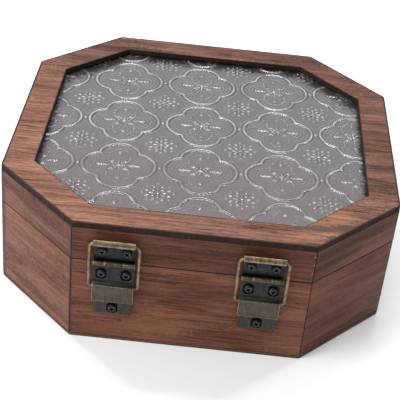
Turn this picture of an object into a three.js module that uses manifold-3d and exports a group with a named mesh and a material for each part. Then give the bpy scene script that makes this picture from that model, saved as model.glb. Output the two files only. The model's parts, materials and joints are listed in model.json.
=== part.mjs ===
// Octagonal wooden storage box with a hinged lid, a pressed glass window and two wire toggle latches.
// Millimetres, +Z up. The origin is the middle of the underside, and the front faces -Y.
import * as THREE from 'three';
import { mergeVertices } from 'three/addons/utils/BufferGeometryUtils.js';
import Module from 'manifold-3d';

const wasm = await Module();
wasm.setup();

// Driving dimensions of the box.
const WIDTH = 200;            // left to right over the walls
const DEPTH = 196;            // front to back over the walls
const HEIGHT = 70;            // underside to the top of the frame, lid shut
const CORNER_LEG = 42;        // how much of each side the slanted corner takes
const LID_HEIGHT = 21.5;      // from the seam to the top of the frame
const WALL = 5;               // side boards
const BOTTOM_BOARD = 2;
const TOP_BOARD = 3;
const FRAME_WIDTH = 15.8;     // top frame, outer edge to window
const BOARD_CORNER_RADIUS = 3; // in plan, of the bottom board and the top frame
const CORNER_STEPS = 4;       // straight pieces in a small rounding
const SEAM = 0.4;             // gap between base and lid
const GLUE_LINE = 0.3;        // gap between two side boards at a mitre

// Pressed glass pane, held from below by a wooden ring.
const GLASS = 4;
const GLASS_LAP = 9.3;        // how far the pane reaches under the frame
const GLASS_RELIEF = 0.6;
const RELIEF_LAP = 3;         // how far the pressed pattern runs on under the frame
const RETAINER_WIDTH = 8;
const RETAINER_THICK = 3;
const RETAINER_CLEARANCE = 0.1;

// The pressed pattern: quatrefoils on a slightly turned lattice, with a rosette between each four.
const FOIL_PITCH_X = 42;
const FOIL_PITCH_Y = 45;
const FOIL_TURN = THREE.MathUtils.degToRad(3);
const FOIL_CENTRE = [-3.4, 7.3];
const FOIL_SIDE_RADIUS = 11.6;
const FOIL_SIDE_REACH = 18.7;
const FOIL_END_RADIUS = 10.2;
const FOIL_END_REACH = 20.7;
const FOIL_LINE = 1.5;
const FOIL_ARC_STEPS = 5;
const ROSETTE_RADIUS = 8.2;
const ROSETTE_HOLLOW = 4.6;
const ROSETTE_PETALS = 8;

// Sheet metal fittings: latches on the front, hinges on the back.
const SHEET = 0.8;
const FITTING_WIDTH = 20;
const ROUND_SIDES = 10;
const PIN_RADIUS = 0.6;
const PIN_CLEARANCE = 0.12;
const KNUCKLE_GAP = 0.25;

// Screws with a pan head and a cross recess.
const SCREW_HEAD_RADIUS = 2.3;
const SCREW_HEAD_HEIGHT = 1.7;
const SCREW_HEAD_RIM = 0.9;   // height of the head's upright rim
const SCREW_CROWN_RADIUS = 1.45;
const SCREW_SHANK_RADIUS = 1;
const SCREW_GRIP = 3.6;       // length in the wood
const SCREW_SIDES = 8;
const SCREW_CLEARANCE = 0.12;
const SCREW_HOLE_REACH = 2.4; // how far a hole's cutter stands out of the wall
const RECESS_LENGTH = 2.6;
const RECESS_WIDTH = 0.6;
const RECESS_DEPTH = 0.7;

// Latches, measured out from the front wall and up from the seam.
const LATCH_LEFT_INSET = 21;          // from the front wall's left end to the latch's middle
const LATCH_RIGHT_INSET = 24;         // and from its right end
const LATCH_SCREW_PITCH = 12;
const LATCH_KNUCKLE_RADIUS = 1.35;
const LATCH_KNUCKLE_WIDTH = 8.8;
const LATCH_AXIS_ABOVE_SEAM = 0.6;
const LEVER_PLAY = 0.25;              // gap between the lever and the plate behind it
const LEVER_LENGTH = 30.85;           // barrel axis to the lever's free end
const HUMP_TOP_BELOW_AXIS = 12.9;
const HUMP_BOTTOM_BELOW_AXIS = 21.7;
const HUMP_STEP = 1.05;
const HUMP_TOP_RISE = 1.65;           // how far the hump stands out of the lever, above and below
const HUMP_BOTTOM_RISE = 2.35;
const LEVER_TIP_MARGIN = 0.6;         // how much narrower the lever is below its hump, each side
const LEVER_SCREW_HOLE_WIDTH = 5.6;
const UPPER_HOLE_BELOW_AXIS = 6.15;
const LOWER_HOLE_BELOW_AXIS = 26.8;
const UPPER_HOLE_HEIGHT = 7.1;
const LOWER_HOLE_HEIGHT = 6.7;
const UPPER_SCREW_BELOW_AXIS = 6.7;
const LOWER_SCREW_BELOW_AXIS = 27.6;
const BASE_PLATE_SIDE_MARGIN = 1.1;   // how much narrower than the lever the plate is, each side
const BASE_PLATE_END_MARGIN = 0.9;
const EAR_BACK = 0.3;
const EAR_TOP_BELOW_AXIS = 12.3;
const EAR_HEIGHT = 7.4;

// The wire bail and the hook it pulls on.
const WIRE_RADIUS = 0.8;
const WIRE_CLEARANCE = 0.15;
const WIRE_SIDES = 8;
const BAIL_PIVOT_OUT = 1.8;
const BAIL_PIVOT_BELOW_AXIS = 14.1;
const BAIL_SEAT_OUT = 2.5;
const BAIL_SEAT_ABOVE_AXIS = 11.8;
const BAIL_SIDE_GAP = 1.15;           // between the lever's edge and the wire's leg
const BAIL_TOP_BEND = 2.6;
const BAIL_END_BEND = 1.7;
const BAIL_BEND_STEPS = 3;
const BAIL_END_REACH = 1.3;           // how far the wire's ends reach in past the lever's edge
const HOOK_MOUTH = 3.35;              // inside width of the hook
const HOOK_LIP = 2.5;                 // lip height over the middle of its bend
const HOOK_BACK_DROP = 0.7;            // how far below the middle of its bend the hook's back ends
const STRIKE_BELOW_HOOK = 12.6;
const STRIKE_SCREW_BELOW_HOOK = 6;
const HOOK_ARC_STEPS = 8;

// Hinges, measured out from the back wall.
const HINGE_INSET = 22;               // from the back wall's ends to the hinge's middle
const HINGE_LEAF = 12;
const HINGE_KNUCKLE_RADIUS = 1.5;
const HINGE_KNUCKLE_WIDTH = 6.4;
const HINGE_WALL_GAP = 0.2;
const HINGE_LEAF_GAP = 0.3;
const HINGE_SCREW_OUT = 6.6;          // screw row, from the barrel axis
const HINGE_SCREW_PITCH = 12;
const LID_OPENS = THREE.MathUtils.degToRad(100);
const STOP_REACH = 3.5;               // stop lug, from the barrel axis
const STOP_GAP = 0.05;                // between the lug and the lower leaf, lid fully open
const STOP_THICK = 1;
const STOP_WIDTH = 5;

const WALNUT_SIDE = new THREE.MeshStandardMaterial({ color: 0x6e4a3c, roughness: 0.6, metalness: 0 });
const WALNUT_TOP = new THREE.MeshStandardMaterial({ color: 0x946a56, roughness: 0.6, metalness: 0 });
const WALNUT_PLAIN = new THREE.MeshStandardMaterial({ color: 0x5c3d30, roughness: 0.7, metalness: 0 });
const PRESSED_GLASS = new THREE.MeshStandardMaterial({
  color: 0xb9b6b8, roughness: 0.15, metalness: 0, transparent: true, opacity: 0.5,
});
const BRONZE = new THREE.MeshStandardMaterial({ color: 0x5b5146, roughness: 0.4, metalness: 0.9 });
const DARK_STEEL = new THREE.MeshStandardMaterial({ color: 0x3c3b3f, roughness: 0.45, metalness: 0.9 });

const seamZ = HEIGHT - LID_HEIGHT;
const baseTop = seamZ - SEAM / 2;
const lidBottom = seamZ + SEAM / 2;
const boardUnder = HEIGHT - TOP_BOARD;
const SIDE_NAMES = [
  'front', 'front_right', 'right', 'back_right', 'back', 'back_left', 'left', 'front_left',
];
const CORNER_SHRINK = Math.SQRT2 - 1;

const box = new THREE.Group();

function addPiece(name, geometry, material, parent = box) {
  const mesh = new THREE.Mesh(geometry, material.clone());
  mesh.name = name;
  parent.add(mesh);
  return mesh;
}

// Joining and cutting of closed meshes.
function toSolid(geometry) {
  const bare = geometry.clone();
  bare.deleteAttribute('normal');
  bare.deleteAttribute('uv');
  const merged = mergeVertices(bare);
  return new wasm.Manifold(new wasm.Mesh({
    numProp: 3,
    vertProperties: merged.attributes.position.array,
    triVerts: new Uint32Array(merged.index.array),
  }));
}

function fromSolid(solid) {
  const mesh = solid.getMesh();
  const geometry = new THREE.BufferGeometry();
  geometry.setAttribute('position', new THREE.BufferAttribute(mesh.vertProperties, 3));
  geometry.setIndex(new THREE.BufferAttribute(mesh.triVerts, 1));
  geometry.computeVertexNormals();
  return geometry;
}

function cut(geometry, tools) {
  return fromSolid(tools.reduce((solid, tool) => solid.subtract(toSolid(tool)), toSolid(geometry)));
}

function join(geometries) {
  return fromSolid(geometries.map(toSolid).reduce((whole, solid) => whole.add(solid)));
}

// Flat outlines raised along Z, or run along X from a profile of points [out, up].
function extrude(outline, bottom, top, holes = []) {
  const shape = new THREE.Shape(outline.map(([x, y]) => new THREE.Vector2(x, y)));
  shape.holes = holes.map((hole) => new THREE.Path(hole.map(([x, y]) => new THREE.Vector2(x, y))));
  const geometry = new THREE.ExtrudeGeometry(shape, { depth: top - bottom, bevelEnabled: false });
  return geometry.translate(0, 0, bottom);
}

// A fitting faces 'front' (out is -Y) or 'back' (out is +Y). Its profile is drawn as [out, up].
function runAlongX(profile, from, to, facing) {
  const sign = facing === 'front' ? -1 : 1;
  const geometry = extrude(profile.map(([out, up]) => [sign * out, up]), 0, to - from);
  // The outline's first axis becomes Y, its second Z and the run X.
  geometry.applyMatrix4(new THREE.Matrix4().set(0, 0, 1, from, 1, 0, 0, 0, 0, 1, 0, 0, 0, 0, 0, 1));
  return geometry;
}

function rectangle(left, bottom, right, top) {
  return [[left, bottom], [right, bottom], [right, top], [left, top]];
}

function circle(centre, radius, sides = ROUND_SIDES) {
  return arc(centre, radius, 0, 2 * Math.PI, sides).slice(0, sides);
}

function arc([x, y], radius, from, to, steps) {
  return Array.from({ length: steps + 1 }, (_, i) => {
    const angle = from + (to - from) * i / steps;
    return [x + radius * Math.cos(angle), y + radius * Math.sin(angle)];
  });
}

// A strip of sheet as thick as given, on the wall side of its outer face.
function sheetProfile(outer, thickness) {
  const inner = outer.map((point, i) => {
    const before = outer[Math.max(i - 1, 0)];
    const after = outer[Math.min(i + 1, outer.length - 1)];
    const normals = [[before, point], [point, after]]
      .map(([a, b]) => new THREE.Vector2(b[1] - a[1], a[0] - b[0]))
      .filter((normal) => normal.length() > 0)
      .map((normal) => normal.normalize());
    const bisector = normals.reduce((sum, normal) => sum.add(normal), new THREE.Vector2()).normalize();
    const reach = thickness / bisector.dot(normals[0].clone().normalize());
    return [point[0] + bisector.x * reach, point[1] + bisector.y * reach];
  });
  return [...outer, ...inner.reverse()];
}

// The plan of the box, set in from the walls' outer faces, from the front's left end round to the right.
function octagon(inset) {
  const x = WIDTH / 2 - inset;
  const y = DEPTH / 2 - inset;
  const nearX = WIDTH / 2 - CORNER_LEG - inset * CORNER_SHRINK;
  const nearY = DEPTH / 2 - CORNER_LEG - inset * CORNER_SHRINK;
  return [
    [-nearX, -y], [nearX, -y], [x, -nearY], [x, nearY],
    [nearX, y], [-nearX, y], [-x, nearY], [-x, -nearY],
  ];
}

function roundCorners(points, radius, steps) {
  return points.flatMap((point, i) => {
    const corner = new THREE.Vector2(...point);
    const before = new THREE.Vector2(...points.at(i - 1)).sub(corner).normalize();
    const after = new THREE.Vector2(...points[(i + 1) % points.length]).sub(corner).normalize();
    const half = before.angleTo(after) / 2;
    const middle = before.clone().add(after).normalize();
    const centre = corner.clone().addScaledVector(middle, radius / Math.sin(half));
    const start = corner.clone().addScaledVector(before, radius / Math.tan(half)).sub(centre).angle();
    const sweep = Math.PI - 2 * half;
    return arc([centre.x, centre.y], radius, start, start + sweep, steps);
  });
}

// One side board, mitred at both ends. Its plan is the strip between two octagons.
function wallPlan(side) {
  const outer = octagon(0);
  const inner = octagon(WALL);
  const next = (side + 1) % outer.length;
  const along = new THREE.Vector2(outer[next][0] - outer[side][0], outer[next][1] - outer[side][1]);
  along.normalize().multiplyScalar(GLUE_LINE / 2);
  const shift = ([x, y], direction) => [x + along.x * direction, y + along.y * direction];
  return [shift(outer[side], 1), shift(outer[next], -1), shift(inner[next], -1), shift(inner[side], 1)];
}

// Screws lie along Y with the head on the plate's outer face.
function screwGeometry(plate, facing) {
  const profile = [
    [0, -SCREW_GRIP], [SCREW_SHANK_RADIUS, -SCREW_GRIP], [SCREW_SHANK_RADIUS, plate],
    [SCREW_HEAD_RADIUS, plate], [SCREW_HEAD_RADIUS, plate + SCREW_HEAD_RIM],
    [SCREW_CROWN_RADIUS, plate + SCREW_HEAD_HEIGHT], [0, plate + SCREW_HEAD_HEIGHT],
  ].map(([radius, out]) => new THREE.Vector2(radius, out));
  const blank = new THREE.LatheGeometry(profile, SCREW_SIDES);
  const recess = [[RECESS_LENGTH, RECESS_WIDTH], [RECESS_WIDTH, RECESS_LENGTH]].map(([width, height]) => {
    const slot = new THREE.BoxGeometry(width, 2 * RECESS_DEPTH, height);
    return slot.translate(0, plate + SCREW_HEAD_HEIGHT, 0);
  });
  const screw = cut(blank, [join(recess)]);
  return facing === 'front' ? screw.rotateX(Math.PI) : screw;
}

// A round hole along Y, from inside the wood to outside everything.
function screwHole(x, z, facing) {
  const radius = SCREW_SHANK_RADIUS + SCREW_CLEARANCE;
  const inside = SCREW_GRIP + SCREW_CLEARANCE;
  const hole = new THREE.CylinderGeometry(radius, radius, inside + SCREW_HOLE_REACH, SCREW_SIDES);
  hole.translate(0, (SCREW_HOLE_REACH - inside) / 2, 0);
  if (facing === 'front') hole.rotateX(Math.PI);
  return hole.translate(x, 0, z);
}

// The wire's path: straight runs joined by bends, as points from end to end.
class WirePath extends THREE.Curve {
  constructor(points) {
    super();
    this.points = points;
  }

  getPoint(t) {
    const place = t * (this.points.length - 1);
    const i = Math.min(Math.floor(place), this.points.length - 2);
    return this.points[i].clone().lerp(this.points[i + 1], place - i);
  }

  getPointAt(t) {
    return this.getPoint(t);
  }

  getTangentAt(t) {
    const i = Math.round(t * (this.points.length - 1));
    const before = this.points[Math.max(i - 1, 0)];
    const after = this.points[Math.min(i + 1, this.points.length - 1)];
    const inward = this.points[i].clone().sub(before).normalize();
    const outward = after.clone().sub(this.points[i]).normalize();
    return inward.add(outward).normalize();
  }
}

// The wooden body: a bottom board, eight base walls, eight lid walls and the top frame.
const wallHalf = WIDTH / 2 - CORNER_LEG;
const latches = [
  { name: 'latch_left', x: LATCH_LEFT_INSET - wallHalf },
  { name: 'latch_right', x: wallHalf - LATCH_RIGHT_INSET },
];
const hinges = [
  { name: 'hinge_left', x: HINGE_INSET - wallHalf },
  { name: 'hinge_right', x: wallHalf - HINGE_INSET },
];

const latchAxisZ = seamZ + LATCH_AXIS_ABOVE_SEAM;
const latchAxisOut = SHEET + LEVER_PLAY + LATCH_KNUCKLE_RADIUS;
const hingeAxisOut = HINGE_WALL_GAP + HINGE_KNUCKLE_RADIUS;
const seatZ = latchAxisZ + BAIL_SEAT_ABOVE_AXIS;
const hookBendRadius = HOOK_MOUTH / 2;
const hookBendZ = seatZ - WIRE_RADIUS - WIRE_CLEARANCE + hookBendRadius;
const hookBendOut = SHEET + hookBendRadius;
const strikeBottom = hookBendZ - STRIKE_BELOW_HOOK;

const strikeScrewZ = hookBendZ - STRIKE_SCREW_BELOW_HOOK;
const plateScrewZ = latchAxisZ - UPPER_SCREW_BELOW_AXIS;
const latchScrews = [
  { name: 'strike_screw_left', on: 'lid', x: -LATCH_SCREW_PITCH / 2, z: strikeScrewZ },
  { name: 'strike_screw_right', on: 'lid', x: LATCH_SCREW_PITCH / 2, z: strikeScrewZ },
  { name: 'plate_screw_left', on: 'base', x: -LATCH_SCREW_PITCH / 2, z: plateScrewZ },
  { name: 'plate_screw_right', on: 'base', x: LATCH_SCREW_PITCH / 2, z: plateScrewZ },
  { name: 'plate_screw_bottom', on: 'base', x: 0, z: latchAxisZ - LOWER_SCREW_BELOW_AXIS },
];
const hingeScrews = [
  { name: 'lower_screw_left', on: 'base', x: -HINGE_SCREW_PITCH / 2, z: seamZ - HINGE_SCREW_OUT },
  { name: 'lower_screw_right', on: 'base', x: HINGE_SCREW_PITCH / 2, z: seamZ - HINGE_SCREW_OUT },
  { name: 'upper_screw_left', on: 'lid', x: -HINGE_SCREW_PITCH / 2, z: seamZ + HINGE_SCREW_OUT },
  { name: 'upper_screw_right', on: 'lid', x: HINGE_SCREW_PITCH / 2, z: seamZ + HINGE_SCREW_OUT },
];

function pilotHoles(side, on) {
  const fitted = { front: [latches, latchScrews, -DEPTH / 2], back: [hinges, hingeScrews, DEPTH / 2] }[side];
  if (!fitted) return [];
  const [places, screws, wallY] = fitted;
  return places.flatMap((place) => screws
    .filter((screw) => screw.on === on)
    .map((screw) => screwHole(place.x + screw.x, screw.z, side).translate(0, wallY, 0)));
}

function addWall(part, side, bottom, top) {
  const board = extrude(wallPlan(side), bottom, top);
  const holes = pilotHoles(SIDE_NAMES[side], part);
  const geometry = holes.length ? cut(board, holes) : board;
  addPiece(`${part}_wall_${SIDE_NAMES[side]}`, geometry, WALNUT_SIDE);
}

const boardOutline = roundCorners(octagon(0), BOARD_CORNER_RADIUS, CORNER_STEPS);
addPiece('bottom_board', extrude(boardOutline, 0, BOTTOM_BOARD), WALNUT_PLAIN);
for (let side = 0; side < SIDE_NAMES.length; side += 1) {
  addWall('base', side, BOTTOM_BOARD, baseTop);
  addWall('lid', side, lidBottom, boardUnder);
}
const topFrame = extrude(boardOutline, boardUnder, HEIGHT, [octagon(FRAME_WIDTH)]);
addPiece('top_frame', topFrame, WALNUT_TOP);

// The glass: a flat pane with raised quatrefoil lines and rosettes.
const reliefTop = boardUnder;
const paneTop = reliefTop - GLASS_RELIEF;
const paneBottom = paneTop - GLASS;

// Four round lobes, those at the sides wider than those at the ends, meeting in cusps.
function foilOutline(grow) {
  const side = { centre: [FOIL_SIDE_REACH - FOIL_SIDE_RADIUS, 0], radius: FOIL_SIDE_RADIUS + grow };
  const end = { centre: [0, FOIL_END_REACH - FOIL_END_RADIUS], radius: FOIL_END_RADIUS + grow };
  const between = new THREE.Vector2(end.centre[0] - side.centre[0], end.centre[1] - side.centre[1]);
  const distance = between.length();
  const reach = (side.radius ** 2 - end.radius ** 2 + distance ** 2) / (2 * distance);
  const rise = Math.sqrt(side.radius ** 2 - reach ** 2);
  const direction = between.clone().normalize();
  const cusp = [
    side.centre[0] + direction.x * reach + direction.y * rise,
    side.centre[1] + direction.y * reach - direction.x * rise,
  ];
  const sideAngle = Math.atan2(cusp[1], cusp[0] - side.centre[0]);
  const endAngle = Math.atan2(cusp[1] - end.centre[1], cusp[0]);
  const half = [
    ...arc(side.centre, side.radius, -sideAngle, sideAngle, FOIL_ARC_STEPS).slice(0, -1),
    ...arc(end.centre, end.radius, endAngle, Math.PI - endAngle, FOIL_ARC_STEPS).slice(0, -1),
  ];
  return [...half, ...half.map(([x, y]) => [-x, -y])];
}

function latticePlace(i, j) {
  const x = i * FOIL_PITCH_X;
  const y = j * FOIL_PITCH_Y;
  return [
    FOIL_CENTRE[0] + x * Math.cos(FOIL_TURN) - y * Math.sin(FOIL_TURN),
    FOIL_CENTRE[1] + x * Math.sin(FOIL_TURN) + y * Math.cos(FOIL_TURN),
  ];
}

function placed(geometry, [x, y]) {
  return geometry.rotateZ(FOIL_TURN).translate(x, y, 0);
}

// A low star of petals, highest in the middle, sunk a little into the pane so that the two join.
function rosette() {
  const count = 2 * ROSETTE_PETALS;
  const sink = GLASS_RELIEF / 2;
  const rim = (z) => Array.from({ length: count }, (_, i) => {
    const radius = i % 2 ? ROSETTE_HOLLOW : ROSETTE_RADIUS;
    const angle = Math.PI * i / ROSETTE_PETALS;
    return [radius * Math.cos(angle), radius * Math.sin(angle), z];
  });
  const vertices = [...rim(paneTop - sink), [0, 0, paneTop - sink], [0, 0, reliefTop]];
  const faces = Array.from({ length: count }, (_, i) => {
    const next = (i + 1) % count;
    return [i, next, count + 1, next, i, count];
  }).flat();
  const geometry = new THREE.BufferGeometry();
  geometry.setAttribute('position', new THREE.Float32BufferAttribute(vertices.flat(), 3));
  return geometry.setIndex(faces);
}

function foilRing() {
  const inner = foilOutline(-FOIL_LINE / 2);
  return extrude(foilOutline(FOIL_LINE / 2), paneTop - GLASS_RELIEF / 2, reliefTop, [inner]);
}

function glassPane() {
  const reachX = Math.ceil(WIDTH / 2 / FOIL_PITCH_X) + 1;
  const reachY = Math.ceil(DEPTH / 2 / FOIL_PITCH_Y) + 1;
  const window = toSolid(extrude(octagon(FRAME_WIDTH - RELIEF_LAP), paneBottom, reliefTop));
  let pane = toSolid(extrude(octagon(FRAME_WIDTH - GLASS_LAP), paneBottom, paneTop));
  for (let i = -reachX; i <= reachX; i += 1) {
    for (let j = -reachY; j <= reachY; j += 1) {
      const ring = toSolid(placed(foilRing(), latticePlace(i, j)));
      const flower = toSolid(placed(rosette(), latticePlace(i + 0.5, j + 0.5)));
      pane = pane.add(ring.intersect(window)).add(flower.intersect(window));
    }
  }
  return fromSolid(pane);
}

addPiece('glass_pane', glassPane(), PRESSED_GLASS);
const retainerOuter = WALL + RETAINER_CLEARANCE;
const retainer = extrude(octagon(retainerOuter), paneBottom - RETAINER_THICK, paneBottom,
  [octagon(retainerOuter + RETAINER_WIDTH)]);
addPiece('glass_retainer', retainer, WALNUT_PLAIN);

// Toggle latches. Everything here is measured out from the front wall.
const fittingHalf = FITTING_WIDTH / 2;
const leverFace = SHEET + LEVER_PLAY + SHEET;
const knuckleHalf = LATCH_KNUCKLE_WIDTH / 2;
const plateHalf = fittingHalf - BASE_PLATE_SIDE_MARGIN;
const leverEnd = latchAxisZ - LEVER_LENGTH;
const knuckleBore = circle([latchAxisOut, latchAxisZ], PIN_RADIUS + PIN_CLEARANCE);

function plateHole(x, z) {
  return screwHole(x, z, 'front');
}

// The strike plate, folded into a hook that is open at the top.
function strikeGeometry() {
  const centre = [hookBendOut, hookBendZ];
  const outerRadius = hookBendRadius + SHEET;
  const meet = -Math.acos(-hookBendRadius / outerRadius);
  const lipTop = hookBendZ + HOOK_LIP;
  const lipRound = SHEET / 2;
  const lipCentre = [hookBendOut + hookBendRadius + lipRound, lipTop - lipRound];
  const backEnd = Math.asin(HOOK_BACK_DROP / hookBendRadius) - Math.PI;
  const profile = [
    [0, strikeBottom], [SHEET, strikeBottom],
    ...arc(centre, outerRadius, meet, 0, HOOK_ARC_STEPS),
    ...arc(lipCentre, lipRound, 0, Math.PI, CORNER_STEPS),
    ...arc(centre, hookBendRadius, 0, backEnd, HOOK_ARC_STEPS),
    [0, hookBendZ - HOOK_BACK_DROP],
  ];
  const blank = runAlongX(profile, -fittingHalf, fittingHalf, 'front');
  const screws = latchScrews.filter((screw) => screw.on === 'lid');
  return cut(blank, screws.map((screw) => plateHole(screw.x, screw.z)));
}

// The plate on the base, with one knuckle curled out of its top edge. The curl leaves the wall below
// the seam, so that the strike plate can reach down behind the barrel.
function basePlateGeometry() {
  const knuckleBottom = latchAxisZ - LATCH_KNUCKLE_RADIUS;
  const plateTop = knuckleBottom - KNUCKLE_GAP;
  const curlTop = latchAxisZ - LATCH_KNUCKLE_RADIUS / 2;
  const plate = runAlongX(rectangle(0, leverEnd + BASE_PLATE_END_MARGIN, SHEET, plateTop),
    -plateHalf, plateHalf, 'front');
  const tongue = runAlongX([
    [0, plateTop - SHEET], [SHEET, plateTop - SHEET], [SHEET, knuckleBottom],
    [latchAxisOut, knuckleBottom], [latchAxisOut, curlTop], [0, curlTop],
  ], -knuckleHalf, knuckleHalf, 'front');
  const knuckle = runAlongX(circle([latchAxisOut, latchAxisZ], LATCH_KNUCKLE_RADIUS),
    -knuckleHalf, knuckleHalf, 'front');
  const bore = runAlongX(knuckleBore, -fittingHalf, fittingHalf, 'front');
  const screws = latchScrews.filter((screw) => screw.on === 'base');
  return cut(join([plate, tongue, knuckle]), [bore, ...screws.map((screw) => plateHole(screw.x, screw.z))]);
}

// An access hole in the lever, larger than the screw's head, with corners cut off.
function accessHole(x, belowAxis, height) {
  const halfWidth = LEVER_SCREW_HOLE_WIDTH / 2;
  const corner = halfWidth / 2;
  const z = latchAxisZ - belowAxis;
  const outline = [
    [halfWidth, corner - height / 2], [halfWidth, height / 2 - corner], [corner, height / 2],
    [-corner, height / 2], [-halfWidth, height / 2 - corner], [-halfWidth, corner - height / 2],
    [-corner, -height / 2], [corner, -height / 2],
  ];
  return extrude(outline, 0, 2 * leverFace).rotateX(Math.PI / 2).translate(x, 0, z);
}

// The lever: sheet with two knuckles, a raised hump with an ear at each side, and three access holes.
function leverGeometry() {
  const humpTop = latchAxisZ - HUMP_TOP_BELOW_AXIS;
  const humpBottom = latchAxisZ - HUMP_BOTTOM_BELOW_AXIS;
  const humpOut = leverFace + HUMP_TOP_RISE;
  const earTop = latchAxisZ - EAR_TOP_BELOW_AXIS;
  const face = [
    [leverFace, latchAxisZ], [leverFace, humpTop + HUMP_STEP], [humpOut, humpTop],
    [leverFace + HUMP_BOTTOM_RISE, humpBottom], [leverFace, humpBottom - HUMP_STEP], [leverFace, leverEnd],
  ];
  const sheet = runAlongX(sheetProfile(face, SHEET), -fittingHalf, fittingHalf, 'front');
  const cheeks = [-1, 1].flatMap((side) => {
    const inner = side * (knuckleHalf + KNUCKLE_GAP);
    const outer = side * fittingHalf;
    const knuckle = runAlongX(circle([latchAxisOut, latchAxisZ], LATCH_KNUCKLE_RADIUS),
      Math.min(inner, outer), Math.max(inner, outer), 'front');
    const earInner = side * (fittingHalf - SHEET);
    const ear = runAlongX([
      [EAR_BACK, earTop - EAR_HEIGHT], [humpOut - SHEET / 2, earTop - EAR_HEIGHT],
      [humpOut - SHEET / 2, humpTop - SHEET / 2], [leverFace - SHEET / 2, humpTop + HUMP_STEP - SHEET / 2],
      [leverFace - SHEET / 2, earTop], [EAR_BACK, earTop],
    ], Math.min(earInner, outer), Math.max(earInner, outer), 'front');
    return [knuckle, ear];
  });
  const notchHalf = knuckleHalf + KNUCKLE_GAP;
  const notchBottom = latchAxisZ - LATCH_KNUCKLE_RADIUS - KNUCKLE_GAP;
  const notchTop = latchAxisZ + LATCH_KNUCKLE_RADIUS + KNUCKLE_GAP;
  const notch = runAlongX(rectangle(0, notchBottom, 2 * latchAxisOut, notchTop),
    -notchHalf, notchHalf, 'front');
  const bore = runAlongX(knuckleBore, -FITTING_WIDTH, FITTING_WIDTH, 'front');
  const wireHole = runAlongX(circle([BAIL_PIVOT_OUT, latchAxisZ - BAIL_PIVOT_BELOW_AXIS],
    WIRE_RADIUS + WIRE_CLEARANCE), -FITTING_WIDTH, FITTING_WIDTH, 'front');
  const tipSides = [-1, 1].map((side) => {
    const edges = [side * (fittingHalf - LEVER_TIP_MARGIN), side * FITTING_WIDTH];
    return runAlongX(rectangle(0, 0, 2 * leverFace, humpBottom - HUMP_STEP),
      Math.min(...edges), Math.max(...edges), 'front');
  });
  return cut(join([sheet, ...cheeks]), [
    notch, bore, wireHole, ...tipSides,
    accessHole(-LATCH_SCREW_PITCH / 2, UPPER_HOLE_BELOW_AXIS, UPPER_HOLE_HEIGHT),
    accessHole(LATCH_SCREW_PITCH / 2, UPPER_HOLE_BELOW_AXIS, UPPER_HOLE_HEIGHT),
    accessHole(0, LOWER_HOLE_BELOW_AXIS, LOWER_HOLE_HEIGHT),
  ]);
}

// The bail: one wire, bent in at its lower ends through the lever's ears.
function bailGeometry() {
  const legX = fittingHalf + BAIL_SIDE_GAP + WIRE_RADIUS;
  const low = latchAxisZ - BAIL_PIVOT_BELOW_AXIS;
  const outAt = (z) => THREE.MathUtils.mapLinear(z, low, seatZ, BAIL_PIVOT_OUT, BAIL_SEAT_OUT);
  const flat = [
    [fittingHalf - BAIL_END_REACH, low],
    ...arc([legX - BAIL_END_BEND, low + BAIL_END_BEND], BAIL_END_BEND, -Math.PI / 2, 0, BAIL_BEND_STEPS),
    ...arc([legX - BAIL_TOP_BEND, seatZ - BAIL_TOP_BEND], BAIL_TOP_BEND, 0, Math.PI / 2, BAIL_BEND_STEPS),
  ];
  const right = flat.map(([x, z]) => new THREE.Vector3(x, -outAt(z), z));
  const left = [...right].reverse().map((point) => new THREE.Vector3(-point.x, point.y, point.z));
  const path = new WirePath([...right, ...left]);
  const outline = circle([0, 0], WIRE_RADIUS, WIRE_SIDES).map((point) => new THREE.Vector2(...point));
  const section = new THREE.Shape(outline);
  return new THREE.ExtrudeGeometry(section, { steps: path.points.length - 1, extrudePath: path });
}

function pinGeometry(out, z, facing) {
  return runAlongX(circle([out, z], PIN_RADIUS), -fittingHalf, fittingHalf, facing);
}

function addScrews(screws, prefix, facing, parent) {
  for (const screw of screws) {
    const piece = addPiece(`${prefix}_${screw.name}`, screwGeometry(SHEET, facing), DARK_STEEL, parent);
    piece.position.set(screw.x, 0, screw.z);
  }
}

for (const latch of latches) {
  const group = new THREE.Group();
  group.position.set(latch.x, -DEPTH / 2, 0);
  addPiece(`${latch.name}_strike`, strikeGeometry(), BRONZE, group);
  addPiece(`${latch.name}_base_plate`, basePlateGeometry(), BRONZE, group);
  addPiece(`${latch.name}_lever`, leverGeometry(), BRONZE, group);
  addPiece(`${latch.name}_bail`, bailGeometry(), BRONZE, group);
  addPiece(`${latch.name}_pin`, pinGeometry(latchAxisOut, latchAxisZ, 'front'), DARK_STEEL, group);
  addScrews(latchScrews, latch.name, 'front', group);
  box.add(group);
}

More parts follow.
